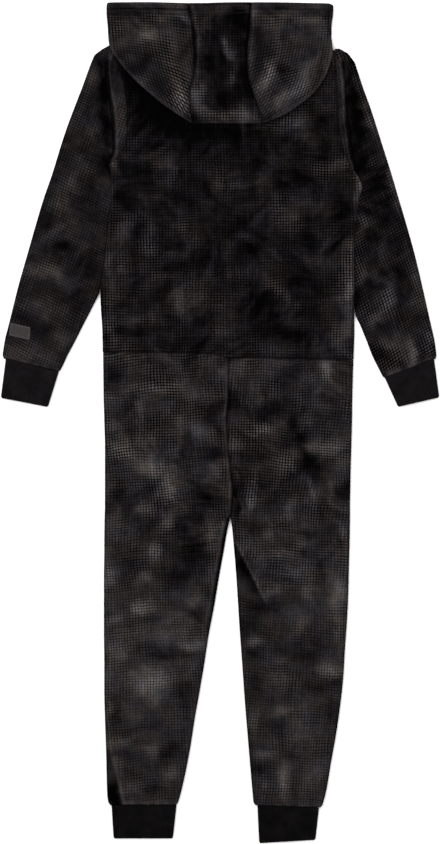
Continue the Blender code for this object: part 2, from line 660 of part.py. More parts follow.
def hood_centre(mat):
    """The hood's middle strip: from the mouth to the crown, round the fold, up to the nape."""
    corner = SIDE_STEPS + CORNER_STEPS
    left = [p + Vector((HOOD_GAP / 2, 0)) for p in curve(HOOD_SEAM["left"], corner)]
    right = [p - Vector((HOOD_GAP / 2, 0)) for p in curve(HOOD_SEAM["right"], corner)]
    inset = CLOTH / 2 + HOOD_FOLD / 2
    for p in (left[-1], right[-1]):
        p.y += inset
    rows = []
    for a, b in zip(left, right):
        row = [a.lerp(b, i / 6) for i in range(7)]
        rows.append([(p.x, p.y, hood_height(p.x, p.y)) for p in row])
    bottom = [left[-1].lerp(right[-1], i / 6) for i in range(7)]
    for step in range(1, 4):
        turn = math.pi * (0.5 - step / 4)
        rows.append([(p.x, p.y - HOOD_FOLD / 2 * math.cos(turn),
                      hood_height(p.x, p.y) - HOOD_FOLD / 2 + HOOD_FOLD / 2 * math.sin(turn))
                     for p in bottom])
    neck = (Vector(HOOD_NECK["left"]) + Vector((HOOD_GAP / 2, 0)),
            Vector(HOOD_NECK["right"]) - Vector((HOOD_GAP / 2, 0)))
    for j in range(CORNER_STEPS + 1):
        t = j / CORNER_STEPS
        a, b = bottom[0].lerp(neck[0], t), bottom[-1].lerp(neck[1], t)
        row = [a.lerp(b, i / 6) for i in range(7)]
        rows.append([(p.x, p.y, hood_under_height(p.x, p.y)) for p in row])
    return cloth("hood_centre", [rows], mat)


# ------------------------------------------------------------------ zip
def box_along(bm, sections):
    """A closed solid through sections of (y, left, right, low, high)."""
    loops = []
    for y, left, right, low, high in sections:
        corners = ((left, low), (right, low), (right, high), (left, high))
        loops.append([bm.verts.new(metres((x, y, z))) for x, z in corners])
    for a, b in zip(loops, loops[1:]):
        for i in range(4):
            j = (i + 1) % 4
            bm.faces.new((a[i], a[j], b[j], b[i]))
    bm.faces.new(loops[0][::-1])
    bm.faces.new(loops[-1])


def zip_tape(side, mat):
    """A zip tape inside the front's edge, with the cord that carries its teeth."""
    sign = -1 if side == "left" else 1
    low = FRONT + CLOTH / 2 + 0.3
    slider_low = SLIDER_Y - SLIDER_LENGTH / 2 - 0.3
    slider_high = SLIDER_Y + SLIDER_LENGTH / 2
    beside = SLIDER_WIDTH / 2 + 0.3

    def build(bm):
        def section(y, inner):
            cord = 0.5 if inner < 1 else 0.0
            across = ((inner, low - cord), (inner, low + TAPE), (TAPE_WIDTH, low + TAPE),
                      (TAPE_WIDTH, low), (inner + 2.4, low), (inner + 2.0, low - cord))
            return [bm.verts.new(metres((zip_x(y) + sign * x, y, z))) for x, z in across]
        loops = [section(ZIP_END, 0.2), section(slider_low - 1.5, 0.2), section(slider_low, beside),
                 section(slider_high, beside), section(ZIP_TOP, beside)]
        for a, b in zip(loops, loops[1:]):
            for i in range(6):
                j = (i + 1) % 6
                bm.faces.new((a[i], a[j], b[j], b[i]))
        bm.faces.new(loops[0][::-1])
        bm.faces.new(loops[-1])
        bmesh.ops.recalc_face_normals(bm, faces=bm.faces)
    return add_object("zip_tape_" + side, build, mat, smooth=False)


def prism(bm, profile, left, right):
    """A closed solid: a (y, z) outline carried along X from left to right."""
    ends = [[bm.verts.new(metres((x, y, z))) for y, z in profile] for x in (left, right)]
    for i in range(len(profile)):
        j = (i + 1) % len(profile)
        bm.faces.new((ends[0][i], ends[0][j], ends[1][j], ends[1][i]))
    for end in ends:
        bm.faces.new(end)
    bmesh.ops.recalc_face_normals(bm, faces=bm.faces)


def zip_slider(mat):
    """The slider, at the top of the closed zip, with the bridge that holds its pull tab."""
    middle, half = zip_x(SLIDER_Y), SLIDER_WIDTH / 2
    low, high = SLIDER_LOW, SLIDER_HIGH
    start, end = SLIDER_Y - SLIDER_LENGTH / 2, SLIDER_Y + SLIDER_LENGTH / 2
    widths = ((start, half - 1.2), (start + 2, half - 0.3), (end - 3, half), (end, half - 0.8))

    def body(bm):
        box_along(bm, [(y, middle - wide, middle + wide, low, high) for y, wide in widths])
        bmesh.ops.recalc_face_normals(bm, faces=bm.faces)

    def bridge(bm):
        top, foot, inside = low + 0.3, low - BRIDGE_DEPTH, low - BRIDGE_DEPTH + BRIDGE_THICK
        outer, inner = BRIDGE_LENGTH / 2, BRIDGE_LENGTH / 2 - 1.0
        outline = ((-outer, top), (-outer, foot), (outer, foot), (outer, top),
                   (inner, top), (inner, inside), (-inner, inside), (-inner, top))
        prism(bm, [(SLIDER_Y + y, z) for y, z in outline], middle - 0.8, middle + 0.8)

    slider = add_object("zip_slider", body, mat, smooth=False)
    loop = add_object("bridge_guide", bridge, mat, smooth=False)
    loop.hide_render = True
    loop.display_type = "WIRE"
    union = slider.modifiers.new("bridge", "BOOLEAN")
    union.operation = "UNION"
    union.object = loop
    return slider


def zip_pull(mat):
    """The pull tab: its crossbar lies under the slider's bridge, on the joint's axis.

    The tab points down the zip and its tip drops a little, onto the surface."""
    fall = math.asin((PULL_AXIS_Z - PULL_THICK / 2 - 0.15) / PULL_LENGTH)
    across = (-PULL_WIDTH / 2, -1.25, 1.25, PULL_WIDTH / 2)
    reaches = (-0.45, 0.45, 5.5, PULL_LENGTH - 2.5, PULL_LENGTH)      # the window is the second run

    def build(bm):
        rows = []
        for reach in reaches:
            narrow = 0.75 if reach in (reaches[0], reaches[-1]) else 1.0
            drop = reach * math.sin(fall)
            rows.append([bm.verts.new(metres((x * narrow if abs(x) > 2 else x,
                                              -reach * math.cos(fall), -drop))) for x in across])
        for j, (low, high) in enumerate(zip(rows, rows[1:])):
            for i in range(3):
                if (j, i) != (1, 1):
                    bm.faces.new((low[i], low[i + 1], high[i + 1], high[i]))
        bmesh.ops.recalc_face_normals(bm, faces=bm.faces)

    tab = add_object("zip_pull", build, mat, smooth=False)
    tab.location = metres((zip_x(SLIDER_Y), PULL_AXIS_Y, PULL_AXIS_Z))
    wall = tab.modifiers.new("plate", "SOLIDIFY")
    wall.thickness = PULL_THICK * 0.001
    wall.offset = 0.0
    return tab


# ------------------------------------------------------------------ sleeve patch
def sleeve_patch(sleeve_object, mat):
    """A small woven patch on the left sleeve's outer edge, made from the sleeve's own points."""
    mesh = bpy.data.meshes.new_from_object(
        sleeve_object.evaluated_get(bpy.context.evaluated_depsgraph_get()))
    tree = BVHTree.FromPolygons([v.co for v in mesh.vertices],
                                [p.vertices for p in mesh.polygons])
    corners = [Vector(corner) for corner in PATCH_CORNERS]
    columns, lines = 8, 4
    rows = []
    for j in range(lines + 1):
        left = corners[0].lerp(corners[2], j / lines)
        right = corners[1].lerp(corners[3], j / lines)
        row = []
        for i in range(columns + 1):
            spot = left.lerp(right, i / columns)
            hit = tree.ray_cast(metres((spot.x, spot.y, 30)), Vector((0, 0, -1)))[0]
            row.append((spot.x, spot.y, hit.z * 1000 + PATCH_SPACE + PATCH_CLOTH / 2))
        rows.append(row)
    return cloth("sleeve_patch", [rows], mat, PATCH_CLOTH)


# ------------------------------------------------------------------ assembly
def clear_scene():
    for obj in list(bpy.data.objects):
        bpy.data.objects.remove(obj, do_unlink=True)


def build():
    clear_scene()
    fleece = material("waffle_fleece", (0.016, 0.013, 0.014), 0.95)
    rib = material("rib_knit", (0.008, 0.007, 0.008), 0.9)
    tape = material("zip_tape", (0.010, 0.009, 0.010), 0.85)
    metal = material("zip_metal", (0.05, 0.05, 0.052), 0.4, 1.0)
    patch_cloth = material("patch_weave", (0.32, 0.29, 0.29), 0.9)

    back_bodice(fleece)
    for side in ("left", "right"):
        front_bodice(side, fleece)
        table = LEG_LEFT if side == "left" else LEG_RIGHT
        leg_panel("back_leg_" + side, table, True, fleece)
        leg_panel("front_leg_" + side, table, False, fleece)
        hood_side(side, fleece)
        zip_tape(side, tape)
    sleeves = {side: sleeve(side, fleece) for side in ("left", "right")}
    hood_centre(fleece)
    for name in CUFFS:
        cuff(name, rib)
    zip_slider(metal)
    zip_pull(metal)
    bpy.context.view_layer.update()
    sleeve_patch(sleeves["left"], patch_cloth)


build()
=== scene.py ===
"""Looks of a hooded onesie pajama of waffle fleece, laid face down and flat.

Every piece of fleece and rib, and the patch, is a sheet of middle points that a Solidify modifier gives its
thickness. A point also carries its place on the flat cut cloth, its grain, which the waffle follows, and
its tone: the dye, with painted highlight and painted shade at its folds, seams, creases and hems.
Sizes are millimetres, in the frame of the solids; metres() turns them into Blender's units.
"""

import math
from functools import partialmethod
from itertools import accumulate

import bmesh
import bpy
import numpy as np
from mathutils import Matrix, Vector, noise
from mathutils.bvhtree import BVHTree
from mathutils.kdtree import KDTree


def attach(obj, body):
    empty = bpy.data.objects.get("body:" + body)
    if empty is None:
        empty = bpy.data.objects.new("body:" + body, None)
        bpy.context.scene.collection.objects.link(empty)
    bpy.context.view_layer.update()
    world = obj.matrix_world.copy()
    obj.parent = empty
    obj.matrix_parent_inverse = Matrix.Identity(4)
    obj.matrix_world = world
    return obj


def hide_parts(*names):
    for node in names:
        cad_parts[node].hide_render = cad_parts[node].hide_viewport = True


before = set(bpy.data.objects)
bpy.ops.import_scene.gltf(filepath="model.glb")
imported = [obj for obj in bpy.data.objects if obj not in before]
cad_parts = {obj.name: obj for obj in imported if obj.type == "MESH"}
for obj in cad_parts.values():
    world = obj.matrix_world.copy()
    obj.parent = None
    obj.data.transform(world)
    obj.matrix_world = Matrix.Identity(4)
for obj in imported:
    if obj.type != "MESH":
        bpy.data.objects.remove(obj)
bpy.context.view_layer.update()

# ---------- sizes of the garment (mm)
CLOTH = 2.2            # thickness of the waffle fleece
RIB = 1.8              # thickness of the ribbed cuffs
TAPE = 0.9             # thickness of the zip tapes
SEAM = 0.4             # space between two pieces at a flat seam
FOLD_SEAM = 0.8        # the same where the seam lies in a fold
HOOD_GAP = 0.3         # the same between the hood's three pieces
TUCK = -0.25           # from the body's side to the sleeve's fold, which lies just under it
FRONT = 1.2            # height of the middle of the cloth that lies on the surface
BACK = 5.8             # the same of the back panels, over the fronts
NAPE = 1.3             # the same of the back's neck, where nothing lies under it
HOOD_STEP = 4.0        # from the back's cloth up to the hood's under layer
HOOD_FOLD = 4.4        # from the hood's under layer up to its upper layer
SHOULDER_RUN = 18.0    # length over which the hood comes down past the shoulders
FACE_RUN = 24.0        # length over which cloth comes down past the hood's face edge
SIDE_LIFT = 1.7        # how far the front's cloth rises at the body's side, over the sleeve
GRID = 4.0             # usual spacing of the cloth's points

ZIP_TOP, ZIP_END = 520.0, -62.0
ZIP_X_TOP, ZIP_X_END = 5.0, 12.0
ZIP_GAP = 4.2
TAPE_WIDTH = 13.0
SLIDER_Y, SLIDER_LENGTH, SLIDER_WIDTH = 506.0, 11.0, 7.4
OUT = {"left": -1, "right": 1}               # from the middle line outwards
COLUMN = {"left": 1, "right": 2}             # a side's column in the tables
ARMPIT = {"left": 388.0, "right": 374.0}
SLEEVE_LEAVES = {"left": 196, "right": 166}  # Y below which a sleeve hangs free of the body
SIDE_AT = {"left": -165, "right": 180}       # X near the sides, where a row's place on them is taken
REACH_BACK, REACH_FRONT = 480, 400           # Y above which rows turn towards the upper edge
TOP_LEVEL, LAST_LEVEL = 560, 552             # of the upper edge, and of the last row below it
BODICE_LOW, LEG_HIGH = 100, 95               # the levels beside the waist seam, above and below it
SEAM_REACH = 12                              # how far from that seam the cloth is pressed in
BODICE_RUN, LEG_RUN = 45, 56                 # how far from it rows still follow its slope
CROTCH = -141.5
# The patch's corners: upper outer, upper inner, lower outer, lower inner.
PATCH = [Vector(corner) for corner in ((-314.1, 150), (-284.3, 143), (-316.4, 131.4), (-285.5, 124.5))]
PATCH_WIDE, PATCH_TALL = [(corner - PATCH[0]).length for corner in PATCH[1:3]]
PATCH_CLOTH, PATCH_BORDER = 0.8, 1.8

RIB_PITCH, RIB_DEPTH = 2.1, 0.38
WAFFLE_ACROSS, WAFFLE_ALONG = 4.4, 4.15      # size of one waffle cell

# ---------- tables of the garment's shape
# The torso's edges: side folds up to the armpits, then the armhole seams up to the shoulders.
TORSO = (  # y, left, right
    (90, -176, 199.5), (140, -177, 201), (170, -179, 201), (196, -180, 201), (237, -174, 200),
    (274, -170, 200.5), (312, -166, 204), (334, -162.5, 207.5), (354, -162.5, 212.5),
    (366, -164, 208), (374, -164.3, 203), (388, -165.5, 196.5), (398, -155, 192), (410, -145, 186.5),
    (424, -140.5, 182), (454, -139, 176.5), (484, -140.5, 175), (514, -145, 174),
    (537, -153, 173), (560, -161, 172),
)
# The fold that stands over each sleeve beside its armhole, from the shoulder to the armpit.
CREST = (  # y, left, right
    (374, -165.5, 203), (388, -170.5, 199), (394, -167, 196.5), (405, -160.5, 194),
    (418, -160, 192), (435, -160.5, 190), (456, -161.5, 187.5), (477, -164, 186.5),
    (502, -169, 185), (520, -170.5, 183.5), (534, -171.5, 182), (545, -170, 181), (557, -168, 179),
)
# The sleeves' outer folds.
SLEEVE_OUTER = (  # y, left, right
    (80, -329, 326), (105, -326, 323.5), (124, -323, 321), (146, -317.5, 316), (166, -312.5, 311.5),
    (208, -302, 302), (250, -290, 292), (292, -278, 280.5), (334, -265.5, 268), (376, -251, 255.5),
    (418, -238, 242), (446, -228.6, 233), (477, -216.8, 222.7), (502, -207, 213.4),
    (534, -195.2, 202.8), (544, -191.3, 199.4), (554, -187, 194),
)
# The sleeves' free underarm folds, below where they leave the body.
SLEEVE_INNER = (  # y, left, right
    (66, -248, 245.2), (80, -239.2, 238.2), (100, -229.6, 228.2), (124, -217, 219), (146, -206, 210),
    (166, -195.5, 201.8), (196, -180.5, 201.6),
)
# Straight rings of each sleeve from the armhole to the hem: where their two ends lie along Y.
SLEEVE_FAN = (  # outer y left, inner y left, outer y right, inner y right
    (552, 378, 541, 366), (502, 364, 502, 355), (458, 346, 462, 345), (412, 322, 424, 334),
    (366, 290, 384, 314), (318, 256, 334, 276), (268, 222, 280, 234), (218, 180, 226, 184),
    (166, 136, 172, 134), (103, 81, 103, 71),
)
# Trouser panels: outer fold, and centre seam down to the crotch, then the inner leg fold.
LEG_LEFT = (  # y, outer, inner
    (110, -176, 12), (39, -175, 12), (4, -174, 9), (-36, -173, 12), (-70, -173, 15),
    (-99, -173, 18), (-124, -173, 17), (-141.5, -173.5, 14.8), (-146, -173.6, 13.7), (-153, -173.7, 12.3),
    (-162, -173.8, 10.4), (-174, -174, 8.2), (-190, -174, 5.6),
    (-232, -174.5, -2), (-274, -174.5, -9), (-316, -174.5, -17), (-358, -174, -23.5),
    (-400, -174, -30.5), (-442, -173, -38), (-484, -171.5, -44.5), (-526, -170.5, -52.5),
    (-558, -169.5, -60), (-568, -168, -63),
)
LEG_RIGHT = (  # y, outer, inner
    (110, 200, 12), (39, 198, 12), (4, 197.5, 9), (-36, 196.5, 12), (-70, 195.5, 15),
    (-99, 195, 18), (-124, 194.5, 17), (-141.5, 194.5, 15.2), (-146, 194.4, 15.9), (-153, 194.3, 17),
    (-162, 194.2, 18.1), (-174, 194, 19.2), (-212, 193, 22.5),
    (-254, 192, 25.5), (-296, 190, 28), (-338, 187, 31), (-380, 184.5, 34), (-422, 180, 37),
    (-464, 174, 40.5), (-506, 166.5, 44), (-548, 158.8, 47.6), (-568, 153.4, 49.5),
)
# Edges that run across, from left to right.
WAIST = ((-180, 106), (-50, 105), (-12, 103.5), (16, 97.5), (80, 96.5), (205, 95))  # x, y
FRONT_WAIST = ((-180, 106), (205, 95))  # x, y
BACK_TOP = (  # x, y: left shoulder, nape, right shoulder
    (-162, 557), (-86, 577), (-60, 567), (-30, 562), (1, 560.5), (32, 562), (62, 567), (88, 577),
    (173, 558),
)
FRONT_TOP = (  # x, y: left shoulder, front neck, right shoulder
    (-162, 557), (-86, 577), (-72, 554), (-42, 532), (5, 522), (52, 532), (78, 554), (88, 577),
    (173, 558),
)
FACE_EDGE = ((-175, 668), (-160, 646), (-130, 616), (-86, 594), (-40, 556), (5, 541), (50, 556),
             (92, 594), (130, 616), (160, 646), (175, 668))  # x, y

# The hood, left and right: its folded edge from the corner of the mouth, round the crown.
HOOD_SIDE = {
    "left": ((-170.5, 629.5), (-170.5, 612), (-169, 596), (-168, 578)),
    "right": ((169.5, 627), (169, 612), (167, 597), (166.5, 578)),
}
HOOD_CORNER = {
    "left": ((-168, 578), (-167, 570), (-164.5, 560), (-158, 549)),
    "right": ((166.5, 578), (167.5, 568), (168.5, 556), (167, 545)),
}
HOOD_CROWN = {
    "left": ((-158, 549), (-144, 531), (-129, 514.5), (-113, 499.5), (-96, 485), (-79, 472),
             (-62, 460.5), (-42, 448)),
    "right": ((167, 545), (160, 525), (155, 514.5), (145, 499.5), (130, 484.5), (113, 472),
              (95, 460.5), (63, 448)),
}
# The seams of the hood's middle strip, from the mouth to the crown.
HOOD_SEAM = {
    "left": ((-48, 629.2), (-44, 609), (-39.5, 585), (-38.5, 560), (-39, 528), (-42, 512),
             (-45.5, 494), (-45.5, 470), (-42, 448)),
    "right": ((47, 630.4), (45, 609), (44, 585), (41, 560), (41, 528), (43, 512), (49, 494),
              (57.5, 470), (63, 448)),
}
HOOD_NECK = {"left": (-30, 559.5), "right": (34, 559.5)}  # where those seams meet the nape
# Under the hood: over the shoulder to the neck, and along the front neckline to the zip.
HOOD_SHOULDER = {
    "left": ((-168, 578), (-130, 581), (-97, 582)),
    "right": ((166.5, 578), (132, 581), (99, 582)),
}
HOOD_NAPE = {
    "left": ((-97, 582), (-88, 574.5), (-60, 564), (-30, 559.5)),
    "right": ((99, 582), (90, 574.5), (62, 564), (34, 559.5)),
}
HOOD_FRONT_NECK = {
    "left": ((-97, 582), (-88, 592), (-77, 580), (-66, 557), (-41, 536), (0.5, 525.5)),
    "right": ((99, 582), (91, 592), (83, 580), (72, 557), (50, 536), (9.5, 525.5)),
}
HOOD_FACE = {
    "left": ((-170.5, 629.5), (-130, 607), (-86, 596), (-40, 547), (0.5, 532)),
    "right": ((169.5, 627), (130, 607), (92, 596), (50, 547), (9.5, 532)),
}

# Ribbed cuffs: the four corners of each, and the last ring of cloth above it.
CUFFS = {  # name: (outer top, inner top, outer bottom, inner bottom), each x, y
    "sleeve_cuff_left": ((-321.5, 96.4), (-242.2, 76.4), (-329, 38.2), (-258.2, 24.6)),
    "sleeve_cuff_right": ((320.3, 96.3), (246.6, 67.6), (328.2, 38.9), (266.2, 24.6)),
    "leg_cuff_left": ((-163, -572.8), (-65.5, -572.8), (-160, -622), (-71, -622)),
    "leg_cuff_right": ((148, -576.4), (55.6, -573.0), (142.6, -624.2), (58.2, -629.2)),
}

# Broad soft swells of the back's cloth: middle, reach along and across, direction, height.
SWELLS = (  # x, y, half length, half width, degrees from +X, height
    (-134, 398, 26, 12, 35, 0.7), (150, 402, 40, 14, -60, 0.7), (-150, 250, 70, 14, 85, 0.8),
    (186, 300, 80, 14, 88, 0.8), (60, 300, 110, 22, 8, 0.5), (-60, 236, 90, 18, 4, 0.5),
    (-30, 150, 120, 20, -3, 0.5), (120, 150, 60, 18, 3, 0.6), (-110, 30, 60, 16, 70, 0.6),
    (60, -20, 30, 14, 75, 0.6), (-40, -70, 70, 18, 12, 0.6), (110, -100, 80, 22, -8, 0.5),
    (55, -235, 34, 10, -58, 1.0), (-110, -260, 120, 26, 82, 0.6), (120, -300, 120, 24, 96, 0.6),
    (-90, -430, 90, 24, 80, 0.6), (105, -470, 90, 22, 100, 0.6), (-150, -520, 40, 8, 68, 0.9),
    (-85, -545, 26, 9, 20, 0.8), (100, -545, 30, 9, -15, 0.8),
)
SLIDER_SWELL = (ZIP_X_TOP, SLIDER_Y, 50, 36, 0, 1.0)

# Creases of the cloth: a soft ridge, or a trough where the height is below 0, from one point to another.
CREASES = {  # piece: (x, y, end x, end y, half width, height in tenths)
    "back_bodice": (
        (-136, 391, -117, 383, 4, -9), (-139, 399, -114, 391, 5, 8), (-160, 372, -112, 338, 7, 8),
        (-158, 352, -92, 306, 9, -8), (-150, 420, -128, 360, 8, 6), (-150, 292, 70, 296, 8, -5),
        (-120, 284, 20, 283, 9, 5), (-140, 226, 96, 228, 7, -5), (-60, 218, 120, 214, 9, 4),
        (192, 372, 138, 326, 8, 9), (196, 352, 150, 300, 8, -8), (170, 420, 150, 350, 9, 7),
        (150, 452, 138, 380, 9, -6), (60, 420, 84, 330, 12, 4), (84, 414, 108, 340, 9, -3),
        (-40, 402, -58, 330, 12, -3), (-70, 406, -92, 350, 11, 3), (186, 250, 176, 150, 10, 8),
        (170, 262, 158, 160, 8, -7), (-160, 250, -150, 140, 9, 7), (-148, 240, -136, 160, 7, -6),
        (-152, 130, -150, 110, 4, 6), (-128, 136, -127, 110, 5, 5), (-96, 132, -98, 110, 4, 6),
        (-58, 138, -60, 110, 5, 5), (-22, 130, -22, 108, 4, 5), (36, 126, 38, 102, 5, 6),
        (72, 124, 70, 101, 4, 5), (112, 130, 113, 101, 5, 6), (150, 122, 148, 101, 4, 6),
        (182, 126, 184, 100, 5, 6),
    ),
    "back_leg_left": (
        (6, -152, -7, -246, 3.2, -13), (1, -154, -12, -244, 2.6, 9), (-174, 30, -161, -6, 4, -11),
        (-166, 34, -153, 0, 5, 7), (10, -96, -62, -52, 9, 8), (10, -112, -70, -88, 7, -7),
        (8, -134, -52, -150, 8, 8), (4, -156, -44, -186, 7, -6), (-150, 84, -152, 102, 4, 6),
        (-110, 80, -112, 103, 5, 5), (-64, 84, -62, 103, 4, 6), (-24, 78, -26, 101, 5, 5),
        (2, 60, 1, -80, 5, 6), (-172, -214, -96, -246, 10, 8), (-170, -250, -80, -268, 8, -7),
        (-14, -300, -92, -282, 9, 7), (-24, -330, -100, -318, 8, -6), (-170, -360, -70, -384, 12, 7),
        (-40, -410, -120, -430, 9, -6), (-168, -470, -104, -452, 9, 7), (-50, -500, -112, -520, 8, 8),
        (-56, -530, -104, -548, 6, -7), (-169, -486, -152, -572, 4.5, -14), (-162, -482, -143, -572, 4, 10),
        (-118, -572, -120, -552, 4, 6), (-96, -572, -95, -548, 5, 6), (-76, -572, -77, -554, 4, 6),
    ),
    "back_leg_right": (
        (16, -98, 84, -58, 9, 7), (18, -112, 90, -92, 7, -7), (24, -182, 46, -230, 4, -17),
        (44, -226, 64, -262, 4, -13), (34, -184, 60, -238, 4, 11), (20, -128, 44, -176, 6, 9),
        (40, 82, 38, 96, 4, 6), (78, 76, 79, 95, 5, 5), (120, 80, 119, 95, 4, 6), (164, 78, 166, 95, 5, 5),
        (192, 60, 176, 20, 8, 6), (24, 60, 22, -70, 5, 6), (190, -150, 120, -176, 10, 6),
        (190, -214, 100, -240, 11, 8), (180, -252, 96, -272, 8, -7), (36, -300, 110, -290, 9, 7),
        (40, -336, 120, -322, 8, -6), (182, -372, 90, -392, 12, 7), (48, -420, 120, -436, 9, -6),
        (166, -470, 110, -458, 9, 7), (52, -508, 108, -524, 8, 8), (56, -538, 100, -552, 6, -7),
        (134, -574, 132, -552, 4, 6), (110, -573, 111, -548, 5, 6), (84, -572, 83, -554, 4, 6),
        (66, -572, 67, -556, 4, 5),
    ),
    "sleeve_left": (
        (-164, 549, -152, 536, 2.6, 10), (-169, 542, -156, 530, 2.4, -7), (-167, 532, -151, 522, 2.6, 8),
        (-160, 470, -148, 400, 5, 5), (-150, 478, -146, 420, 3, -5), (-176, 236, -236, 222, 8, 9),
        (-178, 214, -242, 196, 7, -8), (-186, 190, -240, 176, 8, 7), (-190, 330, -260, 318, 10, 7),
        (-186, 300, -250, 282, 8, -7), (-176, 420, -226, 410, 10, -5), (-284, 230, -240, 250, 9, 6),
        (-296, 196, -250, 206, 8, -6), (-300, 170, -262, 176, 7, 6), (-232, 120, -274, 116, 7, 6),
        (-240, 140, -280, 134, 6, -5), (-300, 96, -296, 116, 4, 7), (-276, 92, -272, 116, 5, 6),
        (-256, 86, -252, 106, 4, 7),
    ),
    "sleeve_right": (
        (182, 540, 178, 528, 2.6, 8), (186, 400, 180, 372, 4, 8), (204, 236, 250, 226, 8, 8),
        (204, 212, 256, 196, 7, -8), (206, 186, 250, 176, 8, 7), (212, 330, 262, 320, 10, 7),
        (210, 296, 256, 282, 8, -7), (196, 430, 236, 418, 10, -5), (288, 236, 250, 250, 9, 6),
        (298, 200, 262, 206, 8, -6), (246, 126, 290, 122, 7, 6), (300, 96, 297, 118, 4, 7),
        (276, 86, 274, 110, 5, 6), (256, 80, 254, 100, 4, 7),
    ),
    "hood_left": (
        (-47, 618, -45, 528, 5, -10), (-60, 600, -56, 540, 7, 6), (-76, 524, -54, 476, 12, 10),
        (-96, 530, -74, 484, 8, -7), (-150, 590, -118, 520, 12, 5), (-120, 606, -104, 556, 12, 5),
        (-96, 600, -92, 556, 8, -5),
    ),
    "hood_centre": (
        (12, 582, 13, 506, 7, 19), (27, 606, 29, 505, 8, -13), (-18, 600, -20, 520, 9, 7),
        (-4, 596, -3, 520, 6, -8), (-40, 622, -33, 500, 3.2, 13), (20, 500, 18, 462, 9, -7),
        (-6, 588, 34, 584, 4, 6),
    ),
    "hood_right": (
        (74, 540, 80, 498, 10, 20), (90, 536, 88, 502, 6, -15), (103, 540, 98, 496, 9, 10),
        (53, 618, 49, 520, 3, 11), (122, 600, 128, 540, 12, 5), (146, 604, 142, 560, 8, -5),
        (130, 540, 112, 490, 8, 5),
    ),
    "front": (
        (-150, 300, -60, 280, 12, 6), (-160, 200, -70, 210, 10, 5), (-120, 420, -90, 340, 12, 6),
        (60, 300, 160, 276, 12, 6), (70, 200, 180, 190, 10, 5), (110, 430, 130, 350, 12, 6),
        (-150, 0, -50, -30, 12, 6), (-160, -210, -60, -240, 12, 7), (-150, -360, -60, -340, 10, 6),
        (60, -20, 170, -60, 12, 6), (60, -230, 170, -210, 12, 7), (60, -350, 160, -380, 10, 6),
    ),
}
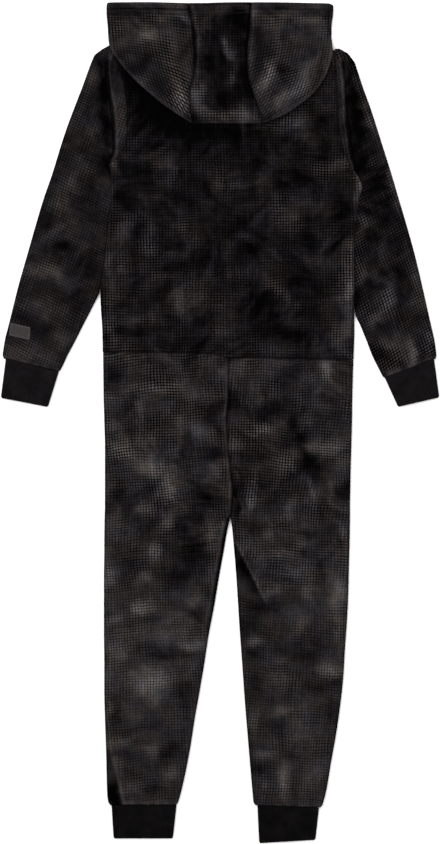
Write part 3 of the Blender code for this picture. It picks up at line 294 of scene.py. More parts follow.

# The dye: soft lighter and darker clouds on a piece's own middle tone. Some clouds are painted light and
# shade instead, marked below: painted shadow under the hood and past the sleeves' folds, painted highlight
# along folds.
TONE = {"back_bodice": 0.34, "front_bodice_left": 0.36, "front_bodice_right": 0.34,
        "back_leg_left": 0.58, "back_leg_right": 0.56, "front_leg_left": 0.52, "front_leg_right": 0.48,
        "sleeve_left": 0.46, "sleeve_right": 0.40, "hood_left": 0.54, "hood_centre": 0.27,
        "hood_right": 0.52}
CLOUDS = {  # piece: (x, y, reach along, reach across, tone in hundredths, degrees from +X unless 0)
    "back_bodice": (
        # (-167, 200, ...) here and (195, 214, ...) below are painted highlight along the body's side folds.
        (-163, 390, 7, 10, 50), (208, 357, 7, 14, 55), (-167, 200, 9, 110, 25, 3),
        (198, 390, 24, 3.5, 45, -75), (182, 204, 12, 26, 30), (-158, 138, 12, 16, 25),
        (-36, 190, 12, 20, 20), (120, 428, 20, 10, 20), (-62, 428, 18, 12, 20), (-147, 252, 16, 50, 15),
        (-138, 292, 12, 15, 20), (-105, 297, 12, 42, 20), (-113, 159, 30, 10, 30, 18),
        (-57, 176, 14, 21, 45), (-93, 222, 12, 8, 25), (-27, 212, 21, 21, 15), (3, 140, 21, 15, 25),
        (0, 356, 12, 8, 30), (30, 358, 14, 8, 30), (24, 376, 18, 8, 15), (97, 314, 36, 15, 30, -50),
        (114, 332, 9, 18, 20), (30, 226, 10, 8, 20), (87, 200, 30, 8, 30, -45), (120, 452, 21, 14, 45),
        (78, 442, 18, 8, 25), (195, 214, 10, 82, 50), (180, 132, 21, 24, 35), (157, 242, 21, 21, 20),
        (174, 382, 30, 11, 36, 12), (202, 334, 6, 33, 30), (-77, 380, 10, 22, 25), (-108, 402, 15, 6, 20),
        (-60, 292, 12, 9, 20), (-42, 267, 15, 12, 15), (54, 110, 30, 9, 20), (-159, 350, 4, 12, 30),
        (135, 327, 18, 18, 20), (-105, 260, 15, 18, 20), (-135, 117, 24, 9, 15),
        # These three dark clouds are painted shadow under the hood's lower edge.
        (-92, 466, 66, 24, -60, -38), (15, 436, 90, 18, -40), (-113, 507, 45, 15, -50, -40),
        (-120, 370, 21, 18, -30), (-143, 327, 12, 18, -25), (-40, 348, 40, 18, -20),
        (55, 394, 18, 15, -25), (120, 362, 21, 14, -20), (187, 312, 14, 36, -30), (154, 414, 15, 12, -25),
        (45, 260, 12, 12, -30), (15, 282, 18, 12, -20), (123, 267, 21, 24, -25), (60, 174, 28, 22, -22),
        (132, 166, 15, 11, -14), (97, 132, 36, 8, -35), (123, 207, 24, 12, -25), (-60, 117, 24, 9, -15),
        (142, 184, 12, 30, -10), (-143, 132, 21, 8, -10),
    ),
    "sleeve_left": (
        # (-164, 545, ...) is painted highlight on the puckers at the shoulder; (-161, 492, ...) and (-152,
        # 444, ...) are painted highlight on the fold beside the armhole.
        (-161, 492, 5, 14, 20, -15), (-164, 545, 6, 3, 40, 30), (-152, 444, 9, 38, 38, 3),
        (-158, 399, 12, 9, 25), (-192, 440, 12, 6, 10), (-196, 516, 10, 22, 30, -20),
        (-308, 212, 8, 26, 30, -14), (-232, 356, 13, 12, 30), (-243, 327, 15, 12, 40),
        (-243, 288, 18, 9, 30, 20), (-263, 228, 33, 10, 50, -10), (-273, 177, 18, 15, 30),
        (-255, 165, 15, 9, 20), (-282, 104, 45, 8, 35, -12), (-243, 122, 12, 12, 35),
        # (-174, 484, ...) is painted shadow on the sleeve just past that fold.
        (-288, 117, 12, 12, 10), (-174, 484, 6, 51, -40, 8), (-198, 356, 15, 10, -30),
        (-207, 333, 18, 8, -25), (-228, 262, 24, 16, -45), (-260, 300, 9, 12, -30),
        (-198, 226, 15, 16, -35), (-216, 182, 21, 14, -35, 60), (-270, 200, 22, 6, -15, -10),
        (-267, 144, 18, 12, -20), (-188, 500, 12, 18, -20), (-225, 312, 12, 9, -10),
        (-198, 387, 12, 12, -10),
    ),
    "sleeve_right": (
        # (181, 500, ...) and (184, 436, ...) are painted highlight on the fold beside the armhole.
        (181, 500, 6, 39, 40), (184, 436, 6, 18, 30), (203, 512, 7, 34, 40, 18),
        (232, 440, 7, 40, 35, 17), (260, 350, 7, 40, 50, 15), (296, 214, 8, 26, 45, 12),
        (216, 300, 12, 12, 20), (219, 222, 12, 27, 20), (246, 184, 12, 30, 45, -20),
        (231, 154, 15, 12, 35, 30), (292, 184, 10, 18, 35), (285, 110, 10, 24, 50, -10),
        (255, 117, 21, 15, 30), (314, 132, 9, 30, 40, 6), (232, 280, 18, 14, -35),
        # (205, 470, ...) is painted shadow on the sleeve just past that fold.
        (205, 470, 10, 75, -40, 5), (235, 350, 21, 45, -30, 20), (265, 260, 12, 18, -25, 20),
        (229, 207, 9, 18, -25), (273, 219, 9, 18, -20), (244, 141, 15, 6, -25, 30), (262, 80, 9, 9, 20),
        (270, 312, 12, 30, -10, 20),
    ),
    "hood_left": (
        (-110, 580, 14, 11, 60, 25), (-90, 604, 18, 10, 25), (-72, 572, 12, 48, 20),
        (-60, 496, 12, 18, 50), (-54, 476, 12, 18, 40), (-135, 574, 18, 21, 10), (-105, 542, 21, 14, -25),
        (-150, 616, 24, 6, -20), (-83, 620, 33, 4, -15), (-131, 522, 24, 10, -15, -38),
        (-98, 507, 15, 12, -10),
    ),
    "hood_centre": (
        (-33, 492, 12, 20, 60), (-29, 574, 9, 15, 25), (8, 571, 5, 10, 75, 15), (15, 555, 7, 8, 60),
        (18, 519, 6, 14, 60, -8), (26, 460, 40, 8, 50), (-6, 621, 38, 9, 32), (-22, 466, 18, 11, 35),
        (-23, 602, 9, 12, 15), (37, 542, 15, 4, 15), (-8, 592, 12, 12, -20), (30, 604, 10, 18, -30),
        (46, 562, 10, 21, -25), (-15, 542, 18, 12, -20), (36, 512, 12, 30, -30), (9, 490, 18, 14, -25),
        (-45, 548, 8, 21, -20),
    ),
    "hood_right": (
        (73, 522, 10, 16, 65, -15), (63, 508, 10, 14, 50, -25), (123, 608, 30, 9, 30),
        (161, 592, 8, 30, 20), (84, 604, 15, 12, 20), (132, 524, 14, 27, 40, -30),
        (99, 488, 36, 9, 40, 35), (144, 586, 12, 27, 20), (120, 572, 15, 12, 10), (57, 567, 9, 30, -30),
        (94, 525, 10, 12, -50, -20), (90, 620, 14, 6, -25), (63, 484, 9, 9, 10), (150, 616, 12, 6, -15),
    ),
    "back_leg_left": (
        (-120, 86, 27, 10, 10), (-5, 74, 20, 14, 15), (-98, 52, 54, 10, 40), (-165, 40, 12, 12, 20),
        (-42, 40, 12, 12, 20), (-65, -2, 12, 15, 20), (-162, -2, 12, 15, 25), (-105, -26, 18, 12, 30),
        (-30, -10, 18, 9, 30), (-146, -42, 21, 18, 60, -10), (-105, -66, 33, 14, 60, -20),
        (-78, -100, 22, 16, 60, -40), (-110, -129, 15, 12, 30), (-81, -146, 12, 15, 25),
        (-14, -68, 12, 12, 25), (-160, -150, 9, 18, 20), (-98, -194, 12, 14, 65), (-113, -230, 14, 9, 35),
        (-165, -238, 9, 18, 30), (-120, -276, 21, 14, 60, 10), (-72, -288, 15, 12, 30),
        (-38, -268, 12, 14, 40), (-158, -290, 12, 10, 35), (-83, -315, 60, 15, 25),
        (-42, -330, 18, 10, 50), (-153, -344, 18, 21, 40), (-105, -386, 34, 21, 80),
        (-93, -418, 12, 14, 30), (-42, -368, 9, 12, 30), (-135, -434, 15, 12, 20),
        (-72, -446, 18, 12, 20), (-150, -478, 18, 12, 30), (-104, -494, 12, 10, 45),
        (-72, -522, 15, 12, 35), (-132, -544, 21, 9, 25), (-150, -514, 8, 12, 25),
        # (-168, -206, ...) and (-168, -400, ...) are painted highlight along the leg's outer fold.
        (-11, -176, 10, 33, 40, -5), (-168, -206, 6, 90, 20), (-168, -400, 6, 90, 25),
        (-105, -566, 30, 6, 10), (-161, 70, 12, 21, -50), (-48, 102, 15, 12, -20),
        (-9, 20, 22, 14, -50, 35), (-51, -34, 18, 15, -30, -30), (-6, -44, 18, 12, -50),
        (-138, -120, 20, 24, -50, -20), (-23, -110, 21, 21, -45), (-54, -148, 18, 18, -30),
        (-18, -142, 14, 16, -35), (-44, -196, 27, 26, -60, 20), (-65, -232, 21, 14, -50),
        (-116, -154, 10, 14, -30), (-147, -220, 12, 18, -15), (-35, -284, 10, 18, -30),
        (-83, -348, 21, 8, -40), (-51, -348, 12, 8, -25), (-51, -404, 14, 21, -30),
        (-153, -440, 9, 14, -30), (-81, -492, 10, 21, -50, -10), (-140, -500, 12, 10, -25),
        (-96, -544, 15, 9, -30), (-156, -558, 5, 15, -40), (-105, -291, 18, 8, -15),
    ),
    "back_leg_right": (
        (30, 86, 21, 12, 20), (78, 93, 30, 6, 20), (157, 80, 10, 15, 60), (148, 50, 9, 15, 30),
        (45, 30, 15, 9, 30), (63, -10, 20, 9, 55), (21, -38, 9, 21, 35), (93, -56, 21, 16, 30),
        (157, -36, 20, 12, 60), (183, -62, 15, 12, 25), (176, -84, 16, 10, 30, 20),
        (45, -116, 6, 20, 60, -10), (108, -126, 10, 18, 40, -25), (138, -106, 18, 9, 20, 25),
        (72, -168, 9, 9, 30), (100, -190, 30, 8, 30, 15), (48, -188, 18, 24, 30, 30),
        (115, -224, 21, 12, 35), (78, -250, 21, 8, 40, 15), (135, -254, 10, 24, 45),
        (172, -254, 12, 33, 60), (54, -327, 12, 9, 50), (117, -302, 15, 21, 30),
        (158, -288, 10, 12, 10, -20), (90, -357, 21, 10, 30), (84, -388, 12, 14, 20),
        (166, -370, 15, 12, 60), (90, -430, 21, 9, 35), (51, -446, 8, 18, 30), (123, -448, 30, 33, 25),
        (67, -494, 14, 8, 50), (94, -536, 10, 30, 60), (138, -524, 21, 39, 25), (66, -544, 9, 9, 30),
        # (184, -206, ...) and (180, -326, ...) are painted highlight along the leg's outer fold.
        (184, -206, 8, 75, 25), (180, -326, 6, 45, 20), (15, 32, 18, 12, -30, 40),
        (60, 22, 46, 16, -45, -6), (122, -28, 62, 9, -60, -69), (141, -66, 12, 22, -35, 10),
        (52, -50, 26, 9, -35), (105, 70, 15, 12, -30), (28, -88, 9, 24, -40), (22, -130, 4, 21, -70),
        (67, -96, 21, 8, -20), (187, -100, 12, 21, -40), (48, -158, 12, 12, -20),
        (36, -206, 6, 24, -40, -22), (127, -160, 15, 8, -25), (60, -276, 20, 11, -45),
        (45, -304, 15, 15, -35), (92, -340, 8, 16, -25, 40), (125, -352, 18, 10, -40),
        (142, -326, 9, 12, -30), (51, -344, 12, 12, -40), (52, -394, 12, 16, -40),
        (147, -393, 27, 9, -35), (166, -430, 8, 18, -30), (84, -454, 15, 9, -20), (103, -501, 9, 9, -30),
        (58, -519, 12, 9, -30), (150, -206, 9, 15, -20),
    ),
}


# ---------- arithmetic of the tables
def ease(t):
    """Smooth step from 0 to 1."""
    t = min(max(t, 0.0), 1.0)
    return t * t * (3.0 - 2.0 * t)


PREPARED = {}


def prepared(table, column):
    """A table's keys, values and tangents for one column."""
    known = PREPARED.get((id(table), column))
    if known is None:
        rows = sorted(table)
        keys = [row[0] for row in rows]
        values = [row[column] for row in rows]
        slopes = [(b - a) / (d - c) for a, b, c, d in zip(values, values[1:], keys, keys[1:])]
        tangents = [slopes[0]]
        for before, after in zip(slopes, slopes[1:]):
            tangents.append(2 * before * after / (before + after) if before * after > 0 else 0.0)
        tangents.append(slopes[-1])
        known = PREPARED[id(table), column] = (keys, values, tangents, table)
    return known[:3]


def along(table, key, column=1):
    """A table's column at a key, on a smooth curve that never overshoots its rows."""
    keys, values, tangents = prepared(table, column)
    key = min(max(key, keys[0]), keys[-1])
    i = next(i for i in range(len(keys) - 1) if key <= keys[i + 1])
    span = keys[i + 1] - keys[i]
    t = (key - keys[i]) / span
    return ((1 + 2 * t) * (1 - t) ** 2 * values[i] + t * (1 - t) ** 2 * span * tangents[i]
            + t * t * (3 - 2 * t) * values[i + 1] + t * t * (t - 1) * span * tangents[i + 1])


def spaced(path, fractions):
    """Points at the given fractions of a path's length."""
    lengths = list(accumulate(((b - a).length for a, b in zip(path, path[1:])), initial=0.0))
    points = []
    for fraction in fractions:
        want = min(max(fraction, 0.0), 1.0) * lengths[-1]
        i = next(i for i in range(len(path) - 1) if want <= lengths[i + 1] + 1e-9)
        points.append(path[i].lerp(path[i + 1], (want - lengths[i]) / (lengths[i + 1] - lengths[i])))
    return points


def curve(points, fractions):
    """Points at the given fractions of a smooth curve through the given ones."""
    knots = [Vector(p) for p in points]
    ends = [2 * knots[0] - knots[1]] + knots + [2 * knots[-1] - knots[-2]]
    fine = []
    for a, b, c, d in zip(ends, ends[1:], ends[2:], ends[3:]):
        for t in even(12)[:-1]:
            fine.append(0.5 * (2 * b + (c - a) * t + (2 * a - 5 * b + 4 * c - d) * t * t
                               + (3 * b - a - 3 * c + d) * t ** 3))
    fine.append(knots[-1])
    return spaced(fine, fractions)


def even(count):
    """Fractions of count equal steps."""
    return [i / count for i in range(count + 1)]


def graded(start, end, near=(0.0, 0.7, 1.5, 2.6, 4.2), step=GRID):
    """Levels from start to end: close together near the start, then about a step apart."""
    sign = 1 if end > start else -1
    levels = [start + sign * n for n in near]
    count = max(1, round(abs(end - levels[-1]) / step))
    return levels + [levels[-1] + (end - levels[-1]) * t for t in even(count)[1:]]


def swell(x, y, cx, cy, half_length, half_width, degrees, height):
    """Height that one soft swell adds at a point."""
    turn = math.radians(degrees)
    along_it = ((x - cx) * math.cos(turn) + (y - cy) * math.sin(turn)) / half_length
    across_it = ((y - cy) * math.cos(turn) - (x - cx) * math.sin(turn)) / half_width
    return height * math.exp(-2 * (along_it * along_it + across_it * across_it))


# ---------- heights of the layers
def covered(x, y):
    """1 over the front's cloth and the hood's lower part, 0 past the hood's face edge."""
    return ease((along(FACE_EDGE, x) + 9 - y) / FACE_RUN)


def back_height(x, y):
    """Middle of the back's cloth."""
    lift = min(sum(swell(x, y, *row) for row in SWELLS), 1.2)
    return NAPE + (BACK - NAPE) * covered(x, y) + lift + swell(x, y, *SLIDER_SWELL)


def beside_sleeve(side, y):
    """1 where a sleeve lies against the body's side, 0 above the armpit and below the sleeve."""
    return ease((y - SLEEVE_LEAVES[side] + 12) / 20) * ease((ARMPIT[side] + 4 - y) / 14)


def side_lift(x, y):
    """1 at the body's side beside a sleeve, 0 further in: there the body lies a little over the sleeve."""
    side = "left" if x < 0 else "right"
    within = abs(along(TORSO, y, COLUMN[side]) - x)
    return beside_sleeve(side, y) * ease(1 - (within - 2) / 16) if y > 140 else 0.0


def front_height(x, y):
    """Middle of the cloth that lies on the surface."""
    return FRONT + SIDE_LIFT * side_lift(x, y)


def torso_height(x, y):
    """Middle of the back's cloth above the waist, raised at the sides."""
    return back_height(x, y) + 1.2 * side_lift(x, y)


def on_torso(x, y):
    """1 where the hood lies on the torso, 0 where it has come down past the shoulders."""
    return ease((along(BACK_TOP, x) + SHOULDER_RUN + 2 - y) / SHOULDER_RUN)


def hood_under_height(x, y):
    """Middle of the hood's under layer."""
    return FRONT + (back_height(x, min(y, along(BACK_TOP, x))) + HOOD_STEP - FRONT) * on_torso(x, y)


def hood_height(x, y):
    """Middle of the hood's upper layer."""
    low = FRONT + 0.3 - HOOD_FOLD + (HOOD_FOLD - 0.3) * covered(x, y)
    high = back_height(x, min(y, along(BACK_TOP, x))) + HOOD_STEP
    return low + (high - low) * on_torso(x, y) + HOOD_FOLD


def zip_x(y):
    """The zip's middle line."""
    return ZIP_X_END + (y - ZIP_END) * (ZIP_X_TOP - ZIP_X_END) / (ZIP_TOP - ZIP_END)


SEAM_DIP = 1.0  # how far the cloth rolls down into a flat seam


def rolled(distance):
    """How far cloth dips at a distance from a flat seam, with the soft ridge beside it."""
    return SEAM_DIP * math.exp(-(distance / 1.7) ** 2) - 0.25 * math.exp(-((distance - 5) / 3) ** 2)


# ---------- node trees
class Nodes:
    """A node tree, with a short way to add each kind of node that the rows and the finishes use."""

    def __init__(self, tree):
        self.tree = tree

    def feed(self, node, inputs):
        """Sets a node's inputs, each by its name or number, to a value or to another node's output."""
        for socket, value in dict(inputs).items():
            if isinstance(value, bpy.types.NodeSocket):
                self.tree.links.new(value, node.inputs[socket])
            else:
                node.inputs[socket].default_value = value
        return node

    def put(self, kind, inputs=(), **settings):
        """A new node's outputs."""
        node = self.tree.nodes.new(kind)
        for key, value in settings.items():
            setattr(node, key, value)
        return self.feed(node, inputs).outputs

    def math(self, operation, *values, **settings):
        return self.put("ShaderNodeMath", enumerate(values), operation=operation, **settings)[0]

    def vectors(self, operation, inputs):
        return self.put("ShaderNodeVectorMath", inputs, operation=operation)[0]

    def noise(self, vector, scale, detail=2.0, roughness=0.5):
        """Noise: its value, then its colour."""
        return self.put("ShaderNodeTexNoise", {"Vector": vector, "Scale": scale, "Detail": detail,
                                               "Roughness": roughness})

    def span(self, value, low=0.0, high=1.0, to_low=0.0, to_high=1.0, **settings):
        """A value's run from low to high, carried to another run."""
        return self.put("ShaderNodeMapRange", {"Value": value, "From Min": low, "From Max": high,
                                               "To Min": to_low, "To Max": to_high}, **settings)[0]

    def mix(self, factor, *colors):
        """A colour between two."""
        first, second = [c if isinstance(c, bpy.types.NodeSocket) else (*c, 1) for c in colors]
        return self.put("ShaderNodeMix", {0: factor, 6: first, 7: second}, data_type="RGBA")[2]

    def split(self, vector):
        return self.put("ShaderNodeSeparateXYZ", {"Vector": vector})

    def placed(self):
        """Coordinates in the piece's own space."""
        return self.put("ShaderNodeTexCoord")["Object"]

    def grain(self):
        """Places on the flat cut cloth."""
        return self.put("ShaderNodeUVMap", uv_map="grain")[0]

    def read(self, label):
        """What a cloth's points carry under a name."""
        return self.put("ShaderNodeAttribute", attribute_name=label)["Fac"]

    def group(self, name, **inputs):
        return self.put("ShaderNodeGroup", inputs, node_tree=bpy.data.node_groups[name])

    def bumps(self, shader, *layers):
        """Bump nodes, one over another, into a shader's normal: (height, distance in m, strength)."""
        below = {}
        for height, distance, strength in layers:
            bump = self.put("ShaderNodeBump", {"Height": height, "Distance": distance, "Strength": strength,
                                               **below})[0]
            below = {"Normal": bump}
        self.feed(shader, below)


for word, operation in (("plus", "ADD"), ("minus", "SUBTRACT"), ("times", "MULTIPLY"), ("over", "DIVIDE"),
                        ("power", "POWER"), ("sine", "SINE"), ("positive", "ABSOLUTE"), ("least", "MINIMUM"),
                        ("times_plus", "MULTIPLY_ADD")):
    setattr(Nodes, word, partialmethod(Nodes.math, operation))


def group(kind, name, given, made):
    """An empty node group: its nodes, its given values and the node that takes what it makes.

    given: each input's first value, or its kind where it has none; made: the names of its outputs."""
    tree = bpy.data.node_groups.new(name, kind + "NodeTree")
    for label, value in given.items():
        known = {tuple: "Vector", float: "Float", int: "Int"}.get(type(value), value)
        socket = tree.interface.new_socket(label, in_out="INPUT", socket_type="NodeSocket" + known)
        if known != value:
            socket.default_value = value
    for label in made:
        known = label if label in ("Geometry", "Color") else "Float"
        tree.interface.new_socket(label, in_out="OUTPUT", socket_type="NodeSocket" + known)
    nodes = Nodes(tree)
    return nodes, nodes.put("NodeGroupInput"), tree.nodes.new("NodeGroupOutput")


def piece_tree(name, given, build):
    """A tree that changes a piece's shape: build(nodes, given) gives it, and the end gives its material."""
    nodes, given, out = group("Geometry", name, {"Geometry": "Geometry", **given, "Material": "Material"},
                              ["Geometry"])
    nodes.tree.is_modifier = True
    real = nodes.put("GeometryNodeRealizeInstances", {"Geometry": build(nodes, given)})[0]
    nodes.feed(out, {0: nodes.put("GeometryNodeSetMaterial", {"Geometry": real,
                                                              "Material": given["Material"]})[0]})
    return nodes.tree


def with_nodes(obj, tree, **values):
    """Runs a node tree on a piece and keeps the result as its plain mesh."""
    modifier = obj.modifiers.new(tree.name, "NODES")
    modifier.node_group = tree
    for item in tree.interface.items_tree:
        if item.in_out == "INPUT" and item.name in values:
            modifier[item.identifier] = values[item.name]
    obj.update_tag()
    graph = bpy.context.evaluated_depsgraph_get()
    mesh = bpy.data.meshes.new_from_object(obj.evaluated_get(graph), preserve_all_data_layers=True,
                                           depsgraph=graph)
    mesh.name = obj.data.name
    obj.modifiers.clear()
    obj.data = mesh


def raised_ribs(nodes, given):
    """A knit's ribs: every point moves along its normal by a wave of its place around the cuff."""
    around = nodes.put("GeometryNodeInputNamedAttribute", {"Name": "around"}, data_type="FLOAT")[0]
    wave = nodes.sine(nodes.times(nodes.over(around, given["Pitch"]), math.tau))
    sharp = nodes.minus(nodes.power(nodes.times_plus(wave, 0.5, 0.5), 0.7), 0.5)
    move = nodes.vectors("SCALE", {0: nodes.put("GeometryNodeInputNormal")[0],
                                   3: nodes.times(sharp, given["Depth"])})
    return nodes.put("GeometryNodeSetPosition", {"Geometry": given["Geometry"], "Offset": move})[0]


def set_in_rows(nodes, given):
    """A small piece at even steps along the lines of a mesh, turned along each line.

    Side moves every other one across the line, as zip teeth stand; Uneven varies their turn a little."""
    lines = nodes.put("GeometryNodeMeshToCurve", {"Mesh": given["Geometry"]})[0]
    spots = nodes.put("GeometryNodeCurveToPoints", {"Curve": lines, "Length": given["Step"]}, mode="LENGTH")
    shape = nodes.put("GeometryNodeObjectInfo", {"Object": given["Piece"]}, transform_space="ORIGINAL")
    other = nodes.math("MODULO", nodes.put("GeometryNodeInputIndex")[0], 2.0)
    aside = nodes.put("ShaderNodeCombineXYZ", {"X": nodes.times(nodes.minus(other, 0.5), given["Side"])})[0]
    moved = nodes.put("GeometryNodeSetPosition", {"Geometry": spots["Points"], "Offset": aside})[0]
    facing = nodes.put("FunctionNodeAlignRotationToVector", {"Vector": spots["Tangent"]}, axis="Y",
                       pivot_axis="Z")[0]
    wobble = nodes.put("FunctionNodeRandomValue", {2: nodes.times(given["Uneven"], -1.0),
                                                   3: given["Uneven"], "Seed": given["Seed"]},
                       data_type="FLOAT")[1]
    for angle in (wobble, nodes.times(other, math.pi)):
        turn = nodes.put("FunctionNodeAxisAngleToRotation", {"Axis": (0, 0, 1), "Angle": angle})[0]
        facing = nodes.put("FunctionNodeRotateRotation", {0: facing, 1: turn}, rotation_space="LOCAL")[0]
    return nodes.put("GeometryNodeInstanceOnPoints", {"Points": moved, "Instance": shape["Geometry"],
                                                      "Rotation": facing})[0]


# ---------- finishes
def waffle_group():
    """Waffle knit: raised cells with grooves between, on a cloth's own grain.

    Height is 1 on a cell and 0 in a groove; Tops is 1 where the fleece stands and 0 in the deep."""
    nodes, given, out = group("Shader", "waffle", {"Vector": (0, 0, 0), "Across": 0.0044, "Along": 0.00415,
                                                   "Uneven": 0.07}, ("Height", "Tops"))
    drift = nodes.split(nodes.noise(given["Vector"], 80.0, 2.0, 0.6)[1])
    place = nodes.split(given["Vector"])
    waves = []
    for axis, size in enumerate(("Across", "Along")):
        open_by = nodes.span(nodes.noise(given["Vector"], 24.0 + 9.0 * axis)[0], 0.32, 0.68, 0.3, 1.15)
        cells = nodes.over(place[axis], given[size])
        shift = nodes.times(nodes.minus(drift[axis], 0.5), nodes.times(given["Uneven"], 8.0))
        wave = nodes.sine(nodes.times(nodes.plus(cells, shift), math.pi))
        waves.append(nodes.power(nodes.positive(wave), open_by))
    cell = nodes.times(*waves)
    nodes.feed(out, {"Height": cell, "Tops": nodes.span(cell, 0.2, 0.95, interpolation_type="SMOOTHSTEP")})


def nap_group():
    """Brushed fibre: fine fuzz in clumps, as a height and a soft change of the colour."""
    nodes, given, out = group("Shader", "nap", {"Vector": (0, 0, 0), "Scale": 1.0}, ("Height", "Shade"))
    fine = nodes.noise(given["Vector"], nodes.times(given["Scale"], 1500.0), 3.0, 0.7)[0]
    clumps = nodes.noise(given["Vector"], nodes.times(given["Scale"], 330.0), 3.0, 0.65)[0]
    nodes.feed(out, {"Height": nodes.times_plus(clumps, 1.2, nodes.times(fine, 0.8)),
                     "Shade": nodes.span(clumps, 0.3, 0.7, 0.72, 1.28)})


def dye_group():
    """The cloth's colour from its tone: near black with a cold cast up to a warm taupe."""
    nodes, given, out = group("Shader", "dye", {"Vector": (0, 0, 0), "Tone": 0.4, "Shade": 1.0, "Light": 1.0},
                              ("Color", "Depth"))
    wide = nodes.noise(given["Vector"], 62.0, 4.0, 0.62)[0]
    tone = nodes.plus(given["Tone"], nodes.times(nodes.minus(wide, 0.5), 0.4))
    tone = nodes.put("ShaderNodeClamp", {"Value": tone, "Min": 0.0, "Max": 1.6})[0]
    bright = nodes.power(nodes.times_plus(tone, 0.196, 0.031), 2.2)
    bright = nodes.times(nodes.times(bright, given["Shade"]), given["Light"])
    cast = nodes.mix(tone, (1.18, 0.97, 1.10), (1.13, 1.0, 0.985))
    warmth = nodes.span(nodes.noise(given["Vector"], 34.0, 1.5)[0], 0.36, 0.64)
    drift = nodes.mix(warmth, (0.945, 0.985, 1.075), (1.05, 1.003, 0.925))
    both = nodes.vectors("MULTIPLY", {0: cast, 1: drift})
    nodes.feed(out, {"Color": nodes.vectors("SCALE", {0: both, 3: bright}), "Depth": tone})


def finish_of(name, **constants):
    """A material, its nodes and its Principled BSDF, whose constants are set on its own sockets."""
    mat = bpy.data.materials.new(name)
    mat.use_nodes = True
    nodes = Nodes(mat.node_tree)
    shader = mat.node_tree.nodes["Principled BSDF"]
    return mat, nodes, nodes.feed(shader, {key.replace("_", " "): value for key, value in constants.items()})


CLOTH_LIGHT = 0.77  # keeps the dye's tones where the studio light brings them out


def dyed(nodes, shader, vector, tone, *shades):
    """Gives a cloth its dye, darkened and lightened by the given shades, among them painted shade."""
    dye = nodes.group("dye", Vector=vector, Tone=tone, Shade=nodes.times(*shades), Light=CLOTH_LIGHT)
    nodes.feed(shader, {"Base Color": dye["Color"]})


def fleece_finish():
    """Mottled waffle fleece, lightly brushed, with painted shade in its waffle's grooves."""
    mat, nodes, shader = finish_of(
        "waffle_fleece_finish", Roughness=0.95, Specular_IOR_Level=0.01, Sheen_Weight=0.06,
        Sheen_Roughness=0.3, Sheen_Tint=(0.80, 0.76, 0.76, 1))
    grain, place = nodes.grain(), nodes.placed()
    knit = nodes.group("waffle", Vector=grain, Across=WAFFLE_ACROSS * 0.001, Along=WAFFLE_ALONG * 0.001)
    nap = nodes.group("nap", Vector=place)
    streaks = [nodes.noise(nodes.vectors("MULTIPLY", {0: grain, 1: scale}), 1.0, 1.0)[0]
               for scale in ((18.0, 240.0, 0.0), (230.0, 22.0, 0.0))]
    streak = nodes.times(nodes.minus(nodes.plus(*streaks), 1.0), 0.22)
    tone = nodes.plus(nodes.read("tone"), streak)
    # Painted shade: the waffle's grooves darker and its cells' tops lighter in the colour, the more so where
    # the tone is light and the knit stands open.
    shown = nodes.span(tone, 0.05, 0.5, 0.25, 0.8)
    worn = nodes.span(nodes.noise(place, 27.0)[0], 0.36, 0.6, 0.5, 1.2)
    open_knit = nodes.times(nodes.minus(1.0, nodes.read("flat")), worn)
    groove_shade = nodes.times(shown, open_knit)
    depth = nodes.times_plus(nodes.times_plus(knit["Tops"], 1.8, -0.86), groove_shade, 1.0)
    dyed(nodes, shader, place, tone, depth, nap["Shade"])
    nodes.bumps(shader, (nodes.times(knit["Height"], open_knit), 0.0011, 0.8), (nap["Height"], 0.00035, 0.7))
    return mat


def rib_finish():
    """Near-black rib knit: small loops down each rib."""
    mat, nodes, shader = finish_of(
        "rib_knit_finish", Roughness=0.9, Specular_IOR_Level=0.03, Sheen_Weight=0.05, Sheen_Roughness=0.3,
        Sheen_Tint=(0.8, 0.78, 0.8, 1))
    place, split = nodes.placed(), nodes.split(nodes.grain())
    loops = nodes.sine(nodes.times(split[1], math.tau / 0.0015))
    sway = nodes.sine(nodes.times_plus(split[0], math.tau / 0.00105, nodes.times(loops, 0.9)))
    knit = nodes.times_plus(loops, 0.5, nodes.times(sway, 0.5))
    nap = nodes.group("nap", Vector=place, Scale=1.4)
    # Painted shade: the rib's loops lighter on top and darker between them.
    dyed(nodes, shader, place, nodes.read("tone"), nodes.span(knit, -1.0, 1.0, 0.75, 1.25), nap["Shade"])
    nodes.bumps(shader, (knit, 0.00022, 0.7), (nap["Height"], 0.0002, 0.6))
    return mat


def tape_finish():
    """Herringbone zip tape."""
    mat, nodes, shader = finish_of("zip_tape_finish", Roughness=0.8, Specular_IOR_Level=0.25)
    grain = nodes.grain()
    split = nodes.split(grain)
    lane = nodes.math("PINGPONG", split[0], 0.0016)
    twill = nodes.sine(nodes.times(nodes.plus(split[1], lane), math.tau / 0.0008))
    # Painted shade: the twill's ridges lighter and its hollows darker.
    dyed(nodes, shader, grain, 0.22, nodes.span(twill, -1.0, 1.0, 0.6, 1.5),
         nodes.group("nap", Vector=grain, Scale=2.0)["Shade"])
    nodes.bumps(shader, (twill, 0.00012, 0.8))
    return mat


def thread_finish(name, color):
    """Twisted sewing thread."""
    mat, nodes, shader = finish_of(name, Roughness=0.7, Specular_IOR_Level=0.12, Sheen_Weight=0.05,
                                   Sheen_Roughness=0.4)
    twist = nodes.put("ShaderNodeTexWave", {"Vector": nodes.placed(), "Scale": 900.0, "Distortion": 1.5,
                                            "Detail": 1.0}, bands_direction="DIAGONAL")["Fac"]
    # Painted shade: the colour darker in the twist's grooves and lighter on its ridges.
    nodes.feed(shader, {"Base Color": nodes.mix(twist, *([c * k for c in color] for k in (0.55, 1.35)))})
    nodes.bumps(shader, (twist, 0.0001, 0.6))
    return mat


